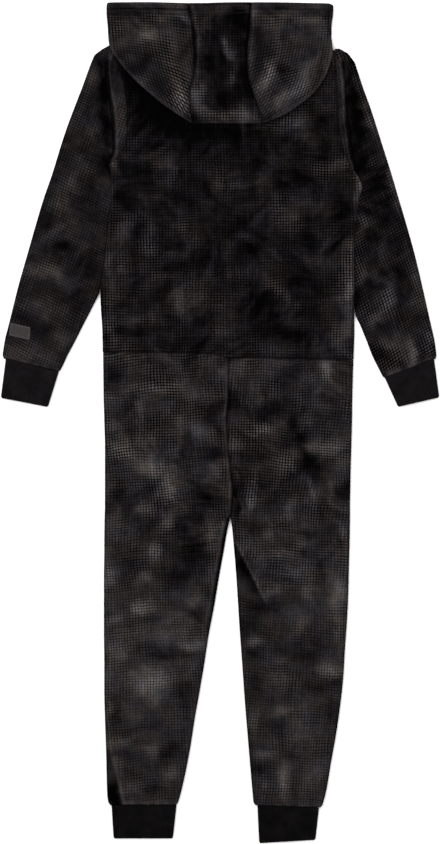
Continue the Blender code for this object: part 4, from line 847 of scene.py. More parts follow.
def metal_finish():
    """Dark zip metal with a thin coat, worn brighter in places."""
    mat, nodes, shader = finish_of("zip_metal_finish", Metallic=1.0, Coat_Roughness=0.2)
    place = nodes.placed()
    worn = nodes.noise(place, 420.0, 5.0, 0.65)[0]
    nodes.feed(shader, {"Base Color": nodes.mix(worn, (0.035, 0.034, 0.036), (0.11, 0.107, 0.108)),
                        "Roughness": nodes.span(worn, to_low=0.28, to_high=0.55)})
    nodes.bumps(shader, (nodes.noise(place, 3000.0)[0], 0.00005, 0.5))
    return mat


def patch_finish():
    """Plain-woven patch, its face left bare, with an overcast border."""
    mat, nodes, shader = finish_of("patch_weave_finish", Roughness=0.8, Specular_IOR_Level=0.15,
                                   Sheen_Weight=0.04, Sheen_Roughness=0.4)
    grain = nodes.grain()
    split = nodes.split(grain)
    wide, tall = PATCH_WIDE * 0.001, PATCH_TALL * 0.001
    x, y = split[0], nodes.times(split[1], -1.0)
    near = nodes.least(nodes.least(x, nodes.minus(wide, x)), nodes.least(y, nodes.minus(tall, y)))
    border = nodes.span(near, PATCH_BORDER * 0.001 + 0.0001, PATCH_BORDER * 0.001 - 0.0003)
    warp, weft, overcast = [nodes.positive(nodes.sine(nodes.times(way, math.pi / pitch)))
                            for way, pitch in ((x, 0.00055), (y, 0.00055), (nodes.plus(x, y), 0.0007))]
    height = nodes.put("ShaderNodeMix", {0: border, 2: nodes.math("MAXIMUM", warp, weft), 3: overcast},
                       data_type="FLOAT")[0]
    worn = nodes.noise(grain, 260.0, 4.0)[0]
    field = nodes.mix(worn, (0.016, 0.013, 0.013), (0.034, 0.027, 0.028))
    edge = nodes.mix(worn, (0.030, 0.025, 0.025), (0.050, 0.042, 0.042))
    # Painted shade: the weave's raised threads lighter and the hollows between them darker.
    light = nodes.span(height, to_low=0.65, to_high=1.1)
    nodes.feed(shader, {"Base Color": nodes.vectors("SCALE", {0: nodes.mix(border, field, edge), 3: light})})
    nodes.bumps(shader, (height, 0.00016, 0.8))
    return mat


def floor_finish():
    """A pale floor, only there when looked at from above, so that the garment's underside can be seen."""
    mat, nodes, shader = finish_of("studio_floor_finish", Roughness=0.9, Specular_IOR_Level=0.1)
    soft = nodes.noise(nodes.placed(), 1.5)[0]
    nodes.feed(shader, {"Base Color": nodes.mix(soft, (0.93, 0.93, 0.93), (0.95, 0.95, 0.95))})
    above = nodes.minus(nodes.put("ShaderNodeLightPath")["Is Camera Ray"],
                        nodes.put("ShaderNodeNewGeometry")["Backfacing"])
    seen = nodes.put("ShaderNodeMixShader", {
        0: nodes.minus(1.0, above, use_clamp=True), 1: shader.outputs[0],
        2: nodes.put("ShaderNodeBsdfTransparent")[0]})[0]
    nodes.feed(mat.node_tree.nodes["Material Output"], {"Surface": seen})
    return mat


# ---------- the dye, painted light and shade, and the waffle's relief
WISPS = (0.34, 0.26)  # strength of the dye's wide and narrow wisps
CLOUD_GAIN = {(True, True): 1.25, (True, False): 1.0, (False, True): 0.85, (False, False): 0.7}
WISP_TURNS = (-32, 8, 48, 96)  # degrees from +X of the ways they run
MOTTLE = {"hood_left": 1.25, "hood_centre": 1.2, "hood_right": 1.3, "sleeve_left": 0.85, "sleeve_right": 1.2}
# How deep a piece's waffle stands, in its bump and in the shade painted in its grooves.
RELIEF = {"hood_left": 1.2, "hood_centre": 1.15, "sleeve_left": 0.88, "sleeve_right": 1.35,
          "back_bodice": 1.25, "back_leg_left": 1.12, "back_leg_right": 1.12}
# Painted highlight (above 0) or painted shade (below 0) along a piece's folds, where its cloth turns from the
# flat.
FOLD_PAINTED_LIGHT = {"hood": -0.05, "back_bodice": 0.2, "back_leg": -0.28, "sleeve": -0.08, "front": -0.05}
GRAIN_SWAY = {"hood": 1.5, "back_bodice": 3.0, "sleeve": 4.5, "back_leg": 5.5, "front": 4.5}
OUTLINES = (  # pieces, the table and column of their outline, and from which y to which
    ("bodice", TORSO, 1, 90, 200), ("bodice", TORSO, 2, 90, 200),
    ("sleeve_left", SLEEVE_OUTER, 1, 60, 560), ("sleeve_right", SLEEVE_OUTER, 2, 60, 560),
    ("sleeve_left", SLEEVE_INNER, 1, 60, 180), ("sleeve_right", SLEEVE_INNER, 2, 60, 180),
    ("leg_left", LEG_LEFT, 1, -600, 98), ("leg_left", LEG_LEFT, 2, -600, CROTCH),
    ("leg_right", LEG_RIGHT, 1, -600, 98), ("leg_right", LEG_RIGHT, 2, -600, CROTCH),
)


def cloudy(x, y, scale, seed):
    """Soft noise at points (numpy arrays), about -0.5 to 0.5."""
    return np.array([noise.noise((a, b, seed)) for a, b in zip(x * scale, y * scale)])


def band(distance, at, width):
    """1 on a line at a distance, fading to both sides of it."""
    return np.exp(-((distance - at) / width) ** 2)


def rise(value, start, run):
    """0 up to a start and 1 past a run from it; a run below 0 goes the other way."""
    return np.clip((value - start) / run, 0, 1)


def profile(table, keys, column=1):
    return np.array([along(table, key, column) for key in keys])


def kind_of(table, name):
    return next(value for key, value in table.items() if name.startswith(key))


def toned(x, y, name):
    """Tone of the dye at points of a piece (numpy arrays), with the painted shadows and highlights among its
    clouds: 0 near black, 1 the lightest taupe.
    """
    key = "back_bodice" if name.startswith("front_bodice") else name.replace("front_leg", "back_leg")
    if key != name:
        x = x * 0.94 + 9.0  # the front has clouds of its own, of the same kind
        y = y * 1.07 - 46.0
    wx, wy = cloudy(x, y, 0.03, 3.1), cloudy(x, y, 0.03, 8.7)
    fx, fy = cloudy(x, y, 0.11, 1.3), cloudy(x, y, 0.11, 5.9)
    px, py = x + 11 * wx + 4 * fx, y + 9 * wy + 4 * fy
    total, streaks, weights = np.zeros_like(x), np.zeros_like(x), np.zeros_like(x)
    for cx, cy, reach, across, hundredths, *degrees in CLOUDS[key]:
        c, s = math.cos(math.radians(sum(degrees))), math.sin(math.radians(sum(degrees)))
        a = ((px - cx) * c + (py - cy) * s) / reach
        b = ((py - cy) * c - (px - cx) * s) / across
        gain = CLOUD_GAIN[hundredths > 0, "bodice" in name]
        total += hundredths / 100 * gain * np.exp(-1.1 * (a * a + b * b) ** 1.1)
    for degrees in WISP_TURNS:
        c, s = math.cos(math.radians(degrees)), math.sin(math.radians(degrees))
        a, b = px * c + py * s, py * c - px * s
        weight = np.exp(7 * cloudy(x, y, 0.014, 40.0 + degrees))
        streaks += weight * (WISPS[0] * cloudy(a * 0.4, b * 1.5, 0.036, 55.0 + degrees)
                             + WISPS[1] * cloudy(a * 0.4, b * 1.4, 0.095, 63.0 + degrees))
        weights += weight
    calm = 1.0 - 0.58 * rise(y, -150, -90)  # softer down the legs
    mottle = MOTTLE.get(name, 1.0 if "bodice" in name else 1.1)
    tone = TONE[name] + mottle * (total + calm * streaks / weights)
    deep = 0.30 if "leg" in name or "front" in name else 0.12
    return np.where(tone < deep, deep - 0.55 * (deep - tone), tone)


def from_border(mesh):
    """Each point's distance in mm from the cloth's cut edges."""
    edges = {}
    for polygon in mesh.polygons:
        for key in polygon.edge_keys:
            edges[key] = edges.get(key, 0) + 1
    border = sorted({v for key, count in edges.items() if count == 1 for v in key})
    tree = KDTree(len(border))
    for i, v in enumerate(border):
        tree.insert(mesh.vertices[v].co, i)
    tree.balance()
    return np.array([tree.find(v.co)[2] for v in mesh.vertices]) * 1000


def dress_hood(name, x, y, tone):
    """Paints highlight and shade into a hood piece's tone at its hem, folded rim and seams; gives where its
    waffle lies flat, and the hem's depth.
    """
    deep = profile(MOUTH, x) - y
    crisp, mouth_highlight = {"hood_left": (1.0, 0.22), "hood_centre": (0.35, 0.0), "hood_right": (0.5, 0.12)}[name]
    # Painted shade in the hem's two stitch grooves, a small dip and its rolled edge; painted highlight on its
    # lip and on the ridge between the stitches.
    for at, dark in zip(HEM_LINES, (0.5, 0.3)):
        tone -= crisp * dark * band(deep, at, 1.5)
    tone += mouth_highlight * band(deep, 2.5, 5) + crisp * (0.2 * band(deep, 12.9, 1.2) - 0.16 * band(deep, 5.2, 1.1))
    tone -= 0.2 * band(deep, 0, 1.2)
    rim = [p for side in ("left", "right") for table in (HOOD_CORNER, HOOD_CROWN)
           for p in curve(table[side], even(60))] + [Vector((-42 + 105 * t, 448)) for t in even(60)]
    from_rim = np.min([np.hypot(x - p.x, y - p.y) for p in rim], axis=0)
    # Painted highlight along the folded rim of the crown and corners.
    tone += 0.2 * band(from_rim, 2.2, 1.5)
    upper = rise(y, 470, 90)
    # Painted highlight on the ridge beside each seam of the middle strip, painted shade in the seam on its
    # other side.
    for side, ridge in (("left", "hood_centre"), ("right", "hood_right")):
        away = x - profile([(p.y, p.x) for p in curve(HOOD_SEAM[side], even(30))], y)
        if name == ridge:  # the seam allowances lie to this side and raise it, under a painted highlight
            tone += 0.38 * band(away, 5.5, 2.2) * upper * (deep > 2)
        else:
            tone -= 0.35 * band(away, -0.5, 3.0) * upper
    return np.maximum(0.7 * rise(deep, 19, -3), 0.8 * rise(from_rim, 4.6, -1.5)), deep


def dress_sleeve(side, x, y, z, tone):
    """Paints highlight and shadow at the fold beside the armhole; gives where the waffle lies flat, and the
    distance from the cuff.
    """
    left, out = side == "left", OUT[side]
    away = out * (x - (profile(CREST, y, COLUMN[side]) - out * CREST_IN[side]))
    beside = rise(y, 366, 12) * rise(y, 552, -14) * (z > 3)
    # Painted highlight on the fold's lip, painted shadow just past it and fading out over the sleeve.
    tone += beside * (0.34 * band(away, -1.8, 1.7) - 0.5 * band(away, 2.6, 2.6)
                      - (0.22 if left else 0.18) * band(away, 11, 10 if left else 16))
    upper = beside * rise(y, 482, 18) * (away < 1) * left
    tone -= 0.12 * upper
    outer, inner = [Vector(p) for p in CUFFS["sleeve_cuff_" + side][:2]]
    run = (inner - outer).normalized()
    return (np.maximum(beside * band(away, 2, 7), 0.85 * upper),
            np.abs((y - outer.y) * run.x - (x - outer.x) * run.y))


def dress_leg(name, x, y, tone):
    """Paints highlight and shade at a leg's seams and folds; gives where the waffle lies flat, and the
    distance from the cuff.
    """
    smooth = np.zeros_like(tone)
    aside = profile(LEG_LEFT, y, 2) - x  # from the left leg's inner edge
    if name == "back_leg_left":  # its seam allowances raise the centre seam on this side, under a painted highlight
        tone += (0.14 + 0.12 * np.sin(y * 0.05)) * band(aside, 3.6, 1.7) * rise(y, CROTCH, 10)
        inseam = rise(y, -139, -5) * rise(y, -330, 90)
        # Painted highlight on the inseam's fold ridge, painted shade in the strip along its edge.
        tone += inseam * (0.3 * band(aside, 8.4, 1.9) - 0.5 * np.exp(-(aside / 5.2) ** 4))
        beyond = (x + 165.5) * 0.973 + (y + 490) * 0.23  # across the fold down to the ankle
        within = rise(y, -480, -22)
        # Painted highlight along the fold down to the ankle, painted shade in the tuck outside it.
        tone += within * (0.22 * band(beyond, 3, 2.4) - (0.16 + 0.32 * rise(y, -532, -16))
                          * (beyond < 0) * rise(beyond, 0, -1.5))
        smooth = np.max([band(aside, 2.5, 3) * (y > CROTCH), inseam * (aside < 9),
                         within * rise(beyond, 5, -2) * 0.85], axis=0)
    elif name == "back_leg_right":
        # Painted shade beside the centre seam.
        tone -= 0.16 * band(aside, -2, 3.5) * rise(y, CROTCH, 10)
        beyond = (x - 23) * 0.894 + (y + 182) * 0.447  # across the fold below the crotch
        within = rise(y, -168, -20) * rise(y, -276, 26)
        # Painted highlight along the fold below the crotch, painted shade beside it.
        tone += within * (0.3 * band(beyond, 2.5, 2.2)
                          - 0.45 * band(np.minimum(beyond + 1, 0), 0, 12) * (beyond < 0.5))
        smooth = within * (beyond < 1) * 0.8
    return smooth, np.abs(y - CUFFS["leg_cuff_" + name.split("_")[2]][0][1] - 0.5)


def listed(vertices, label):
    """What a mesh's points have under a name, such as their places, as an array of three columns."""
    values = np.zeros(len(vertices) * 3)
    vertices.foreach_get(label, values)
    return values.reshape(-1, 3)


def carry(mesh, **labels):
    """Gives a mesh's points values under names."""
    for label, values in labels.items():
        made = mesh.attributes.new(label, "FLOAT", "POINT")
        made.data.foreach_set("value", np.asarray(values, np.float32))


def dress(mesh, name, place):
    """Gives a cloth's points their tone, with painted highlight and painted shade at hems, outline, seams and
    folds, and how far the waffle is pulled flat, and sways its grain.
    """
    x, y, z = place.T
    tone, near = toned(x, y, name), from_border(mesh)
    smooth = np.zeros_like(tone)  # where the waffle is pulled flat
    if name.startswith("hood"):
        smooth, deep = dress_hood(name, x, y, tone)
        near = np.where(deep < 8, 9.0, near)
    elif "bodice" not in name:
        smooth, above = (dress_leg(name, x, y, tone) if "leg" in name
                         else dress_sleeve(name[7:], x, y, z, tone))
        # Painted highlight along the hem's turned edge above the cuff, uneven along it.
        tone += 0.3 * band(above, 3.0, 1.6) * (0.6 + 0.5 * np.sin(x * 0.31 + 2 * np.sin(x * 0.07)))
        smooth = np.maximum(smooth, rise(above, 6.0, -2.5))
    outline = np.full_like(x, 99.0)  # from the garment's own outline
    for pieces, table, column, low, high in OUTLINES:
        if pieces in name:
            away = np.abs(x - profile(table, y, column))
            outline = np.where((y > low) & (y < high), np.minimum(outline, away), outline)
    # Painted shade along the garment's outline, where the cloth rolls away.
    tone -= 0.22 * band(outline, 0, 1.9)
    smooth = np.maximum(smooth, 0.7 * rise(outline, 3.6, -1.5))
    # Painted shade in the seams along the cloth's cut edges.
    tone -= (0.12 if name in ("sleeve_right", "back_bodice") else 0.24) * band(near, 0, 1.6)
    # Painted highlight or painted shade where the cloth turns from the flat at a fold; the back bodice's is
    # lighter above y 200 and darker below.
    turned = rise(np.abs(listed(mesh.vertices, "normal")[:, 2]), 0.97, -0.35)
    worn = kind_of(FOLD_PAINTED_LIGHT, name)
    tone += turned * (worn if name != "back_bodice" else np.where(y > 200, worn, -worn))
    flat = np.clip(np.maximum(turned, smooth) + 0.7 * band(near, 0, 1.4), 0, 1)
    flat = 1 - (1 - flat) * RELIEF.get(name, 1.0) * (1 - 0.28 * rise(y, -170, -90))
    carry(mesh, tone=tone, flat=flat)
    sway = 0.001 * kind_of(GRAIN_SWAY, name)
    for loop, spot in zip(mesh.loops, mesh.uv_layers["grain"].uv):
        a, b, _ = place[loop.vertex_index]
        spot.vector.x += sway * noise.noise((a * 0.016, b * 0.012, 21.0))
        spot.vector.y += sway * noise.noise((a * 0.015, b * 0.013, 33.0))


# ---------- how pieces are made
PIECES = {}  # every new piece by name


def metres(point):
    return Vector(point[:3]) * 0.001


def linked(name, data):
    obj = bpy.data.objects.new(name, data)
    bpy.context.scene.collection.objects.link(obj)
    return obj


def walled(obj, thickness):
    """Gives a piece's middle surface its thickness."""
    wall = obj.modifiers.new("wall", "SOLIDIFY")
    wall.thickness = thickness * 0.001
    wall.offset = 0.0


def finished(obj, material, thickness, nodes=(), smooth=True):
    """Gives a piece its wall, finish, place in the frame and the solids it stands for."""
    obj.data.materials.clear()
    obj.data.materials.append(material)
    if thickness:
        walled(obj, thickness)
    if smooth:
        obj.data.shade_smooth()
    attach(obj, "garment")
    if nodes:
        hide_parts(*nodes)
    PIECES[obj.name] = obj


def meshed(name, bm):
    """The mesh of a bmesh, its faces turned outwards."""
    mesh = bpy.data.meshes.new(name)
    bmesh.ops.recalc_face_normals(bm, faces=bm.faces)
    bm.to_mesh(mesh)
    bm.free()
    return mesh


def tube(name, loops):
    """A closed mesh through loops of points, both ends capped."""
    bm = bmesh.new()
    rings = [[bm.verts.new(metres(p)) for p in loop] for loop in loops]
    for a, b in zip(rings, rings[1:]):
        for i in range(len(a)):
            j = (i + 1) % len(a)
            bm.faces.new((a[i], a[j], b[j], b[i]))
    bm.faces.new(rings[0][::-1])
    bm.faces.new(rings[-1])
    return meshed(name, bm)


def woven(name, grids):
    """A mesh from grids of (x, y, z, grain across, grain along), welded where they meet."""
    bm = bmesh.new()
    grain = bm.loops.layers.uv.new("grain")
    for rows in grids:
        verts = [[bm.verts.new(metres(p)) for p in row] for row in rows]
        for j in range(len(rows) - 1):
            for i in range(len(rows[0]) - 1):
                corners = ((j, i), (j, i + 1), (j + 1, i + 1), (j + 1, i))
                face = bm.faces.new([verts[a][b] for a, b in corners])
                for loop, (a, b) in zip(face.loops, corners):
                    loop[grain].uv = (rows[a][b][3] * 0.001, rows[a][b][4] * 0.001)
    bmesh.ops.remove_doubles(bm, verts=bm.verts, dist=0.00002)
    return meshed(name, bm)


def creased(x, y, rows):
    """Heights that a table's creases add at points (numpy arrays)."""
    total = np.zeros_like(x)
    for number, (x0, y0, x1, y1, width, height) in enumerate(rows):
        length = math.hypot(x1 - x0, y1 - y0)
        ux, uy = (x1 - x0) / length, (y1 - y0) / length
        t = ((x - x0) * ux + (y - y0) * uy) / length
        bow = 0.06 * length * np.sin(np.pi * np.clip(t, 0, 1)) * math.sin(number * 2.4)
        wander = width * 0.35 * np.sin(t * (5 + number % 3) + number)
        side = (y - y0) * ux - (x - x0) * uy - bow - wander
        fade = np.exp(-np.maximum(0, np.abs(t - 0.5) - 0.36) ** 2 / 0.018)
        uneven = 0.8 + 0.3 * np.sin(t * 4.3 + number * 1.7)
        total += height / 10 * uneven * fade * np.exp(-(side / width) ** 2)
    return total


def cloth(name, grids, above=-1.0):
    """A piece of fleece. Its creases move the points above a height; those below take the front's own."""
    mesh = woven(name + "_cloth", grids)
    place = listed(mesh.vertices, "co") * 1000
    x, y, z = place.T
    level = np.array([above(a, b) for a, b in zip(x, y)]) if callable(above) else above
    place[:, 2] += np.where(z > level, creased(x, y, CREASES.get(name, ())),
                            np.abs(creased(x, y, CREASES["front"])))
    place[:, 2] = np.maximum(place[:, 2], CLOTH / 2 + 0.02)
    mesh.vertices.foreach_set("co", (place * 0.001).ravel())
    dress(mesh, name, place)
    finished(linked(mesh.name, mesh), FLEECE, CLOTH, [name])


# ---------- bodice and trouser panels
EDGE_STEPS = 5  # segments in a quarter fold
FLAT_EDGE = (0.0, 0.6, 1.3, 2.1, 3.1, 4.3, 5.8)  # the same points' places on a flat seam


def bend(low, high, upper):
    """Offsets (outwards, height) from a fold's seam round to its flat end, for one layer."""
    radius, middle = (high - low) / 2, (high + low) / 2
    sign = 1 if upper else -1
    first = math.asin(min(0.6, (FOLD_SEAM / 2 + 0.3) / radius))
    turns = [first + (math.pi / 2 - first) * t for t in even(EDGE_STEPS)]
    return [(radius * math.cos(first), middle + sign * FOLD_SEAM / 2),
            *((radius * math.cos(turn), middle + sign * radius * math.sin(turn)) for turn in turns)]


def panel_row(y_at, edges, folds, height_at, upper, columns, skew=0.0, low_at=lambda x, y: FRONT):
    """Points across a panel from left to right, each with its grain.

    edges: x of its two edges; folds: 1 where an edge is a fold, 0 at a flat seam, None where it is plain."""
    def side(edge, fold, inwards):
        y = y_at(edge)
        if fold is None:
            return [(edge, y, height_at(edge, y) if upper else FRONT)]
        high, low = height_at(edge + inwards * 4, y), low_at(edge + inwards * 2, y)
        radius = (high - low) / 2
        points = []
        for (out, z), flat in zip(bend(low, high, upper), FLAT_EDGE):
            folded = CLOTH / 2 + radius - out
            x = edge + inwards * (fold * folded + (1 - fold) * (SEAM / 2 + flat))
            level = high - rolled(flat) if upper else low
            points.append((x, y_at(x), fold * z + (1 - fold) * level))
        return points

    left, right = side(edges[0], folds[0], 1), side(edges[1], folds[1], -1)
    inner = []
    for i in range(1, columns):
        x = left[-1][0] + (right[-1][0] - left[-1][0]) * i / columns
        y = y_at(x)
        inner.append((x, y, height_at(x, y) if upper else low_at(x, y)))
    row = left + inner + right[::-1]
    across = list(accumulate((math.hypot(b[0] - a[0], b[2] - a[2]) for a, b in zip(row, row[1:])),
                             initial=0.0))
    shift = row[len(row) // 2][0] - across[len(row) // 2]
    return [(x, y, z, u + shift + skew * y, y - skew * x) for (x, y, z), u in zip(row, across)]


def top_fold(row, edge, fold_at, upper, height_at):
    """Rows that carry a panel over its upper edge, where it folds to the other layer."""
    rows = [row]
    for step, flat in reversed(list(enumerate(FLAT_EDGE))):
        points = []
        for (x, _, z, u, _), (_, y_before, z_before, _, v) in zip(row, rows[-1]):
            y = along(edge, x)
            high = height_at(x, y)
            radius = (high - FRONT) / 2
            out, turned = bend(FRONT, high, upper)[step] if radius > SEAM else (0, z)
            fold = fold_at(x)
            y -= fold * (CLOTH / 2 + radius - out) + (1 - fold) * (0.2 + flat)
            z = fold * turned + (1 - fold) * z
            points.append((x, y, z, u, v + math.hypot(y - y_before, z - z_before)))
        rows.append(points)
    return rows[1:]


def bodice_y(level, x, top, waist, reach):
    """Where a nominal level passes at x, between the waist seam and the upper edge."""
    up = min(max((level - reach) / (TOP_LEVEL - reach), 0.0), 1.0)
    down = min(max((BODICE_LOW + BODICE_RUN - level) / BODICE_RUN, 0.0), 1.0)
    return level + (along(top, x) - TOP_LEVEL) * up + (along(waist, x) + SEAM / 2 - BODICE_LOW) * down


def armhole_fold(side, y):
    """1 below the armpit, where the side is a fold; 0 at the armhole seam."""
    return ease((ARMPIT[side] - y) / 12)


def shoulder_fold(x):
    """1 along the shoulders, 0 along the neckline."""
    return ease((max(-x, x - 2) - 86) / 8)


def back_bodice():
    """The back, from the waist seam over the shoulders."""
    rows = []
    for level in graded(BODICE_LOW, LAST_LEVEL):
        def y_at(x):
            return bodice_y(level, x, BACK_TOP, WAIST, REACH_BACK)
        ends = {side: y_at(x) for side, x in SIDE_AT.items()}
        at_seam = rolled(level - BODICE_LOW) if level < BODICE_LOW + SEAM_REACH else 0.0
        rows.append(panel_row(
            y_at, [along(TORSO, y, COLUMN[side]) for side, y in ends.items()],
            [armhole_fold(side, y) for side, y in ends.items()],
            lambda x, y: torso_height(x, y) - at_seam, True, 88, low_at=front_height))
    rows += top_fold(rows[-1], BACK_TOP, shoulder_fold, True, back_height)
    cloth("back_bodice", [rows])


def front_bodice(side):
    """One half of the front, from its side to the zip."""
    rows = []
    for level in graded(BODICE_LOW, LAST_LEVEL, step=6):
        def y_at(x):
            return bodice_y(level, x, FRONT_TOP, FRONT_WAIST, REACH_FRONT)
        end = y_at(SIDE_AT[side])
        fold = armhole_fold(side, end)
        outer = along(TORSO, end, COLUMN[side]) + OUT[side] * 1.3 * (1 - fold)
        inner = zip_x(y_at(zip_x(level))) + OUT[side] * ZIP_GAP
        way = -OUT[side]  # from left to right
        rows.append(panel_row(y_at, (outer, inner)[::way], (fold, None)[::way], torso_height, False, 32,
                              low_at=front_height))
    rows += top_fold(rows[-1], FRONT_TOP, shoulder_fold, False, back_height)
    cloth("front_bodice_" + side, [rows], above=100)


HEM_TURN = 3.6  # how far the cloth turns in past the last level, down to the cuff's seam
HEM_INSET = 3.5  # how much narrower it is there
GATHERS = 0.45  # height of the small gathers above the cuffs


def leg_y(level, x, outer, waist):
    """Where a nominal level passes at x, between the waist seam and the hem."""
    up = min(max((level - LEG_HIGH) / LEG_RUN + 1, 0.0), 1.0)
    slope = 0.0 if outer < 0 else ease((-500 - level) / 60) * -0.037 * (x - 51)
    return level + (along(waist, x) - SEAM / 2 - LEG_HIGH) * up + slope


def leg_panel(name, table, upper):
    """A trouser panel, back or front, from the waist seam to the hem."""
    outer_sign = -1 if table[0][1] < 0 else 1
    waist = WAIST if upper else FRONT_WAIST
    bottom = min(row[0] for row in table)
    rows = []
    turns = [bottom - HEM_TURN * t for t in TURN_STEPS]
    for level in graded(LEG_HIGH, bottom, step=GRID if upper else 6) + turns:
        turned = min(max((bottom - level) / HEM_TURN, 0.0), 1.0) ** TURN_POWER
        outer, inner = along(table, level, 1), along(table, level, 2)
        if not upper and level > CROTCH:
            parted = ease((level - ZIP_END + 5) / 5)
            inner += outer_sign * (ZIP_GAP - SEAM / 2) * parted + (zip_x(level) - inner) * parted
        outer -= outer_sign * HEM_INSET * turned
        inner += outer_sign * HEM_INSET * turned
        near_waist = rolled(LEG_HIGH - level) if level > LEG_HIGH - SEAM_REACH else 0.0
        fold = ease((CROTCH - level) / 12)
        way = -outer_sign  # from left to right

        def height(x, y):
            gathers = GATHERS * math.sin(x * 0.47 + 1.3 * math.sin(x * 0.11)) * ease((-y - 545) / 26)
            down = 0.8 * turned + near_waist * ease((y + 600) / 40)
            return back_height(x, y) - down + gathers * (1 - turned)
        longer = 0.8 * turned * (not upper)
        rows.append(panel_row(lambda x: leg_y(level, x, outer, waist) - longer, (outer, inner)[::way],
                              (1, fold)[::way], height, upper, 42, skew=outer_sign * -0.045))
    cloth(name, [rows], above=-1.0 if upper else 100)


# ---------- sleeves and cuffs
def flat_grain(x, y):
    return (x, y)


def grain_of(columns, rows):
    """A function from a place in plan to a grain whose columns and rows run at these angles."""
    cx, cy = math.sin(math.radians(columns)), math.cos(math.radians(columns))
    rx, ry = math.cos(math.radians(rows)), math.sin(math.radians(rows))
    det = rx * cy - ry * cx

    def grain(x, y):
        return ((x * cy - y * cx) / det, (y * rx - x * ry) / det)
    return grain


def ring(path, high_at, columns, grain, low=FRONT, inset=0.0, wall=CLOTH):
    """A flattened tube's section, from its inner fold over the upper layer and back under it.

    The path in plan runs from the outer to the inner end; high_at(fraction) is the upper middle's height."""
    length = sum((b - a).length for a, b in zip(path, path[1:]))
    outer, inner = [(high_at(end) - low) / 2 for end in (0.0, 1.0)]  # the two folds' radii
    start, stop = inset + wall / 2 + outer, length - (inset + wall / 2 + inner)
    flats = [stop + (start - stop) * t for t in even(columns)]
    turns = [math.pi / 2 * t for t in even(4)]

    def fold(at, radius, angles):
        return [(at + radius * math.cos(a), low + abs(radius) * (1 + math.sin(a))) for a in angles]
    sketch = fold(stop, inner, turns[:-1]) + [(s, high_at(s / length)) for s in flats]
    sketch += fold(start, -outer, turns[-2::-1] + [-a for a in turns[1:]])
    sketch += [(s, low) for s in flats[-2::-1]] + fold(stop, inner, [-a for a in turns[-2::-1]])
    plans = spaced(path, [s / length for s, _ in sketch])
    points = [(p.x, p.y, z) for p, (_, z) in zip(plans, sketch)]
    first, last = len(turns) - 1, len(turns) - 1 + columns  # the upper layer's flat part
    places = [Vector(grain(x, y)) for x, y, _ in points]
    step_out = Vector(grain(*(path[0] - path[-1]).normalized()))
    for i in range(first - 1, -1, -1):
        places[i] = places[i + 1] - step_out * math.dist(points[i], points[i + 1])
    for i in range(last + 1, len(points)):
        places[i] = places[i - 1] + step_out * math.dist(points[i], points[i - 1])
    return [(*p, *place) for p, place in zip(points, places)]


def moved_below(row, height, step):
    """A ring whose points below a height lie a step further on."""
    return [(x + step.x * (z < height), y + step.y * (z < height), z, u, v) for x, y, z, u, v in row]


def loft(keys, step):
    """Rings between key rings, about a step apart."""
    rings = [keys[0]]
    for a, b in zip(keys, keys[1:]):
        count = max(1, math.ceil(max(math.dist(p[:3], q[:3]) for p, q in zip(a, b)) / step))
        rings += [[tuple(m + (n - m) * t for m, n in zip(p, q)) for p, q in zip(a, b)]
                  for t in even(count)[1:]]
    return rings


def edge_path(table, column, top, bottom, shift):
    """A path down a table's column, moved sideways by shift."""
    levels = [top + (bottom - top) * t for t in even(48)]
    return [Vector((along(table, y, column) + shift, y)) for y in levels]


SLEEVE_COLUMNS = 22
SLEEVE_MIDDLE = 3.2  # height between its two layers
SLEEVE_GRAIN = {"left": (18, -26), "right": (-19, 31)}  # degrees that its grain leans
CREST_IN = {"left": 3.5, "right": 0.5}  # the visible fold stands this far in from its table
SHOULDER_TOP = {"left": 567.0, "right": 561.0}
FAN = tuple((n, *row) for n, row in enumerate(SLEEVE_FAN))  # by number from the armhole
SLEEVE_STEPS = 108  # rings from the armhole to the hem
TURN_STEPS = (0.25, 0.5, 0.75, 1.0)  # where rings lie as a hem turns in
TURN_POWER = 1.6  # how late it turns
CREST_PROFILE = (      # mm outwards from the crest, height at its middle, height at its ends
    (-6.0, 8.3, 6.0), (-2.6, 8.8, 6.0), (-0.4, 8.7, 5.9), (0.9, 8.0, 5.7), (1.6, 6.9, 5.4), (1.9, 5.7, 5.0),
    (2.1, 4.7, 4.8), (2.8, 4.1, 4.7), (4.6, 4.0, 4.7), (8.0, 4.2, 4.8), (12.0, 4.6, 4.9),
)


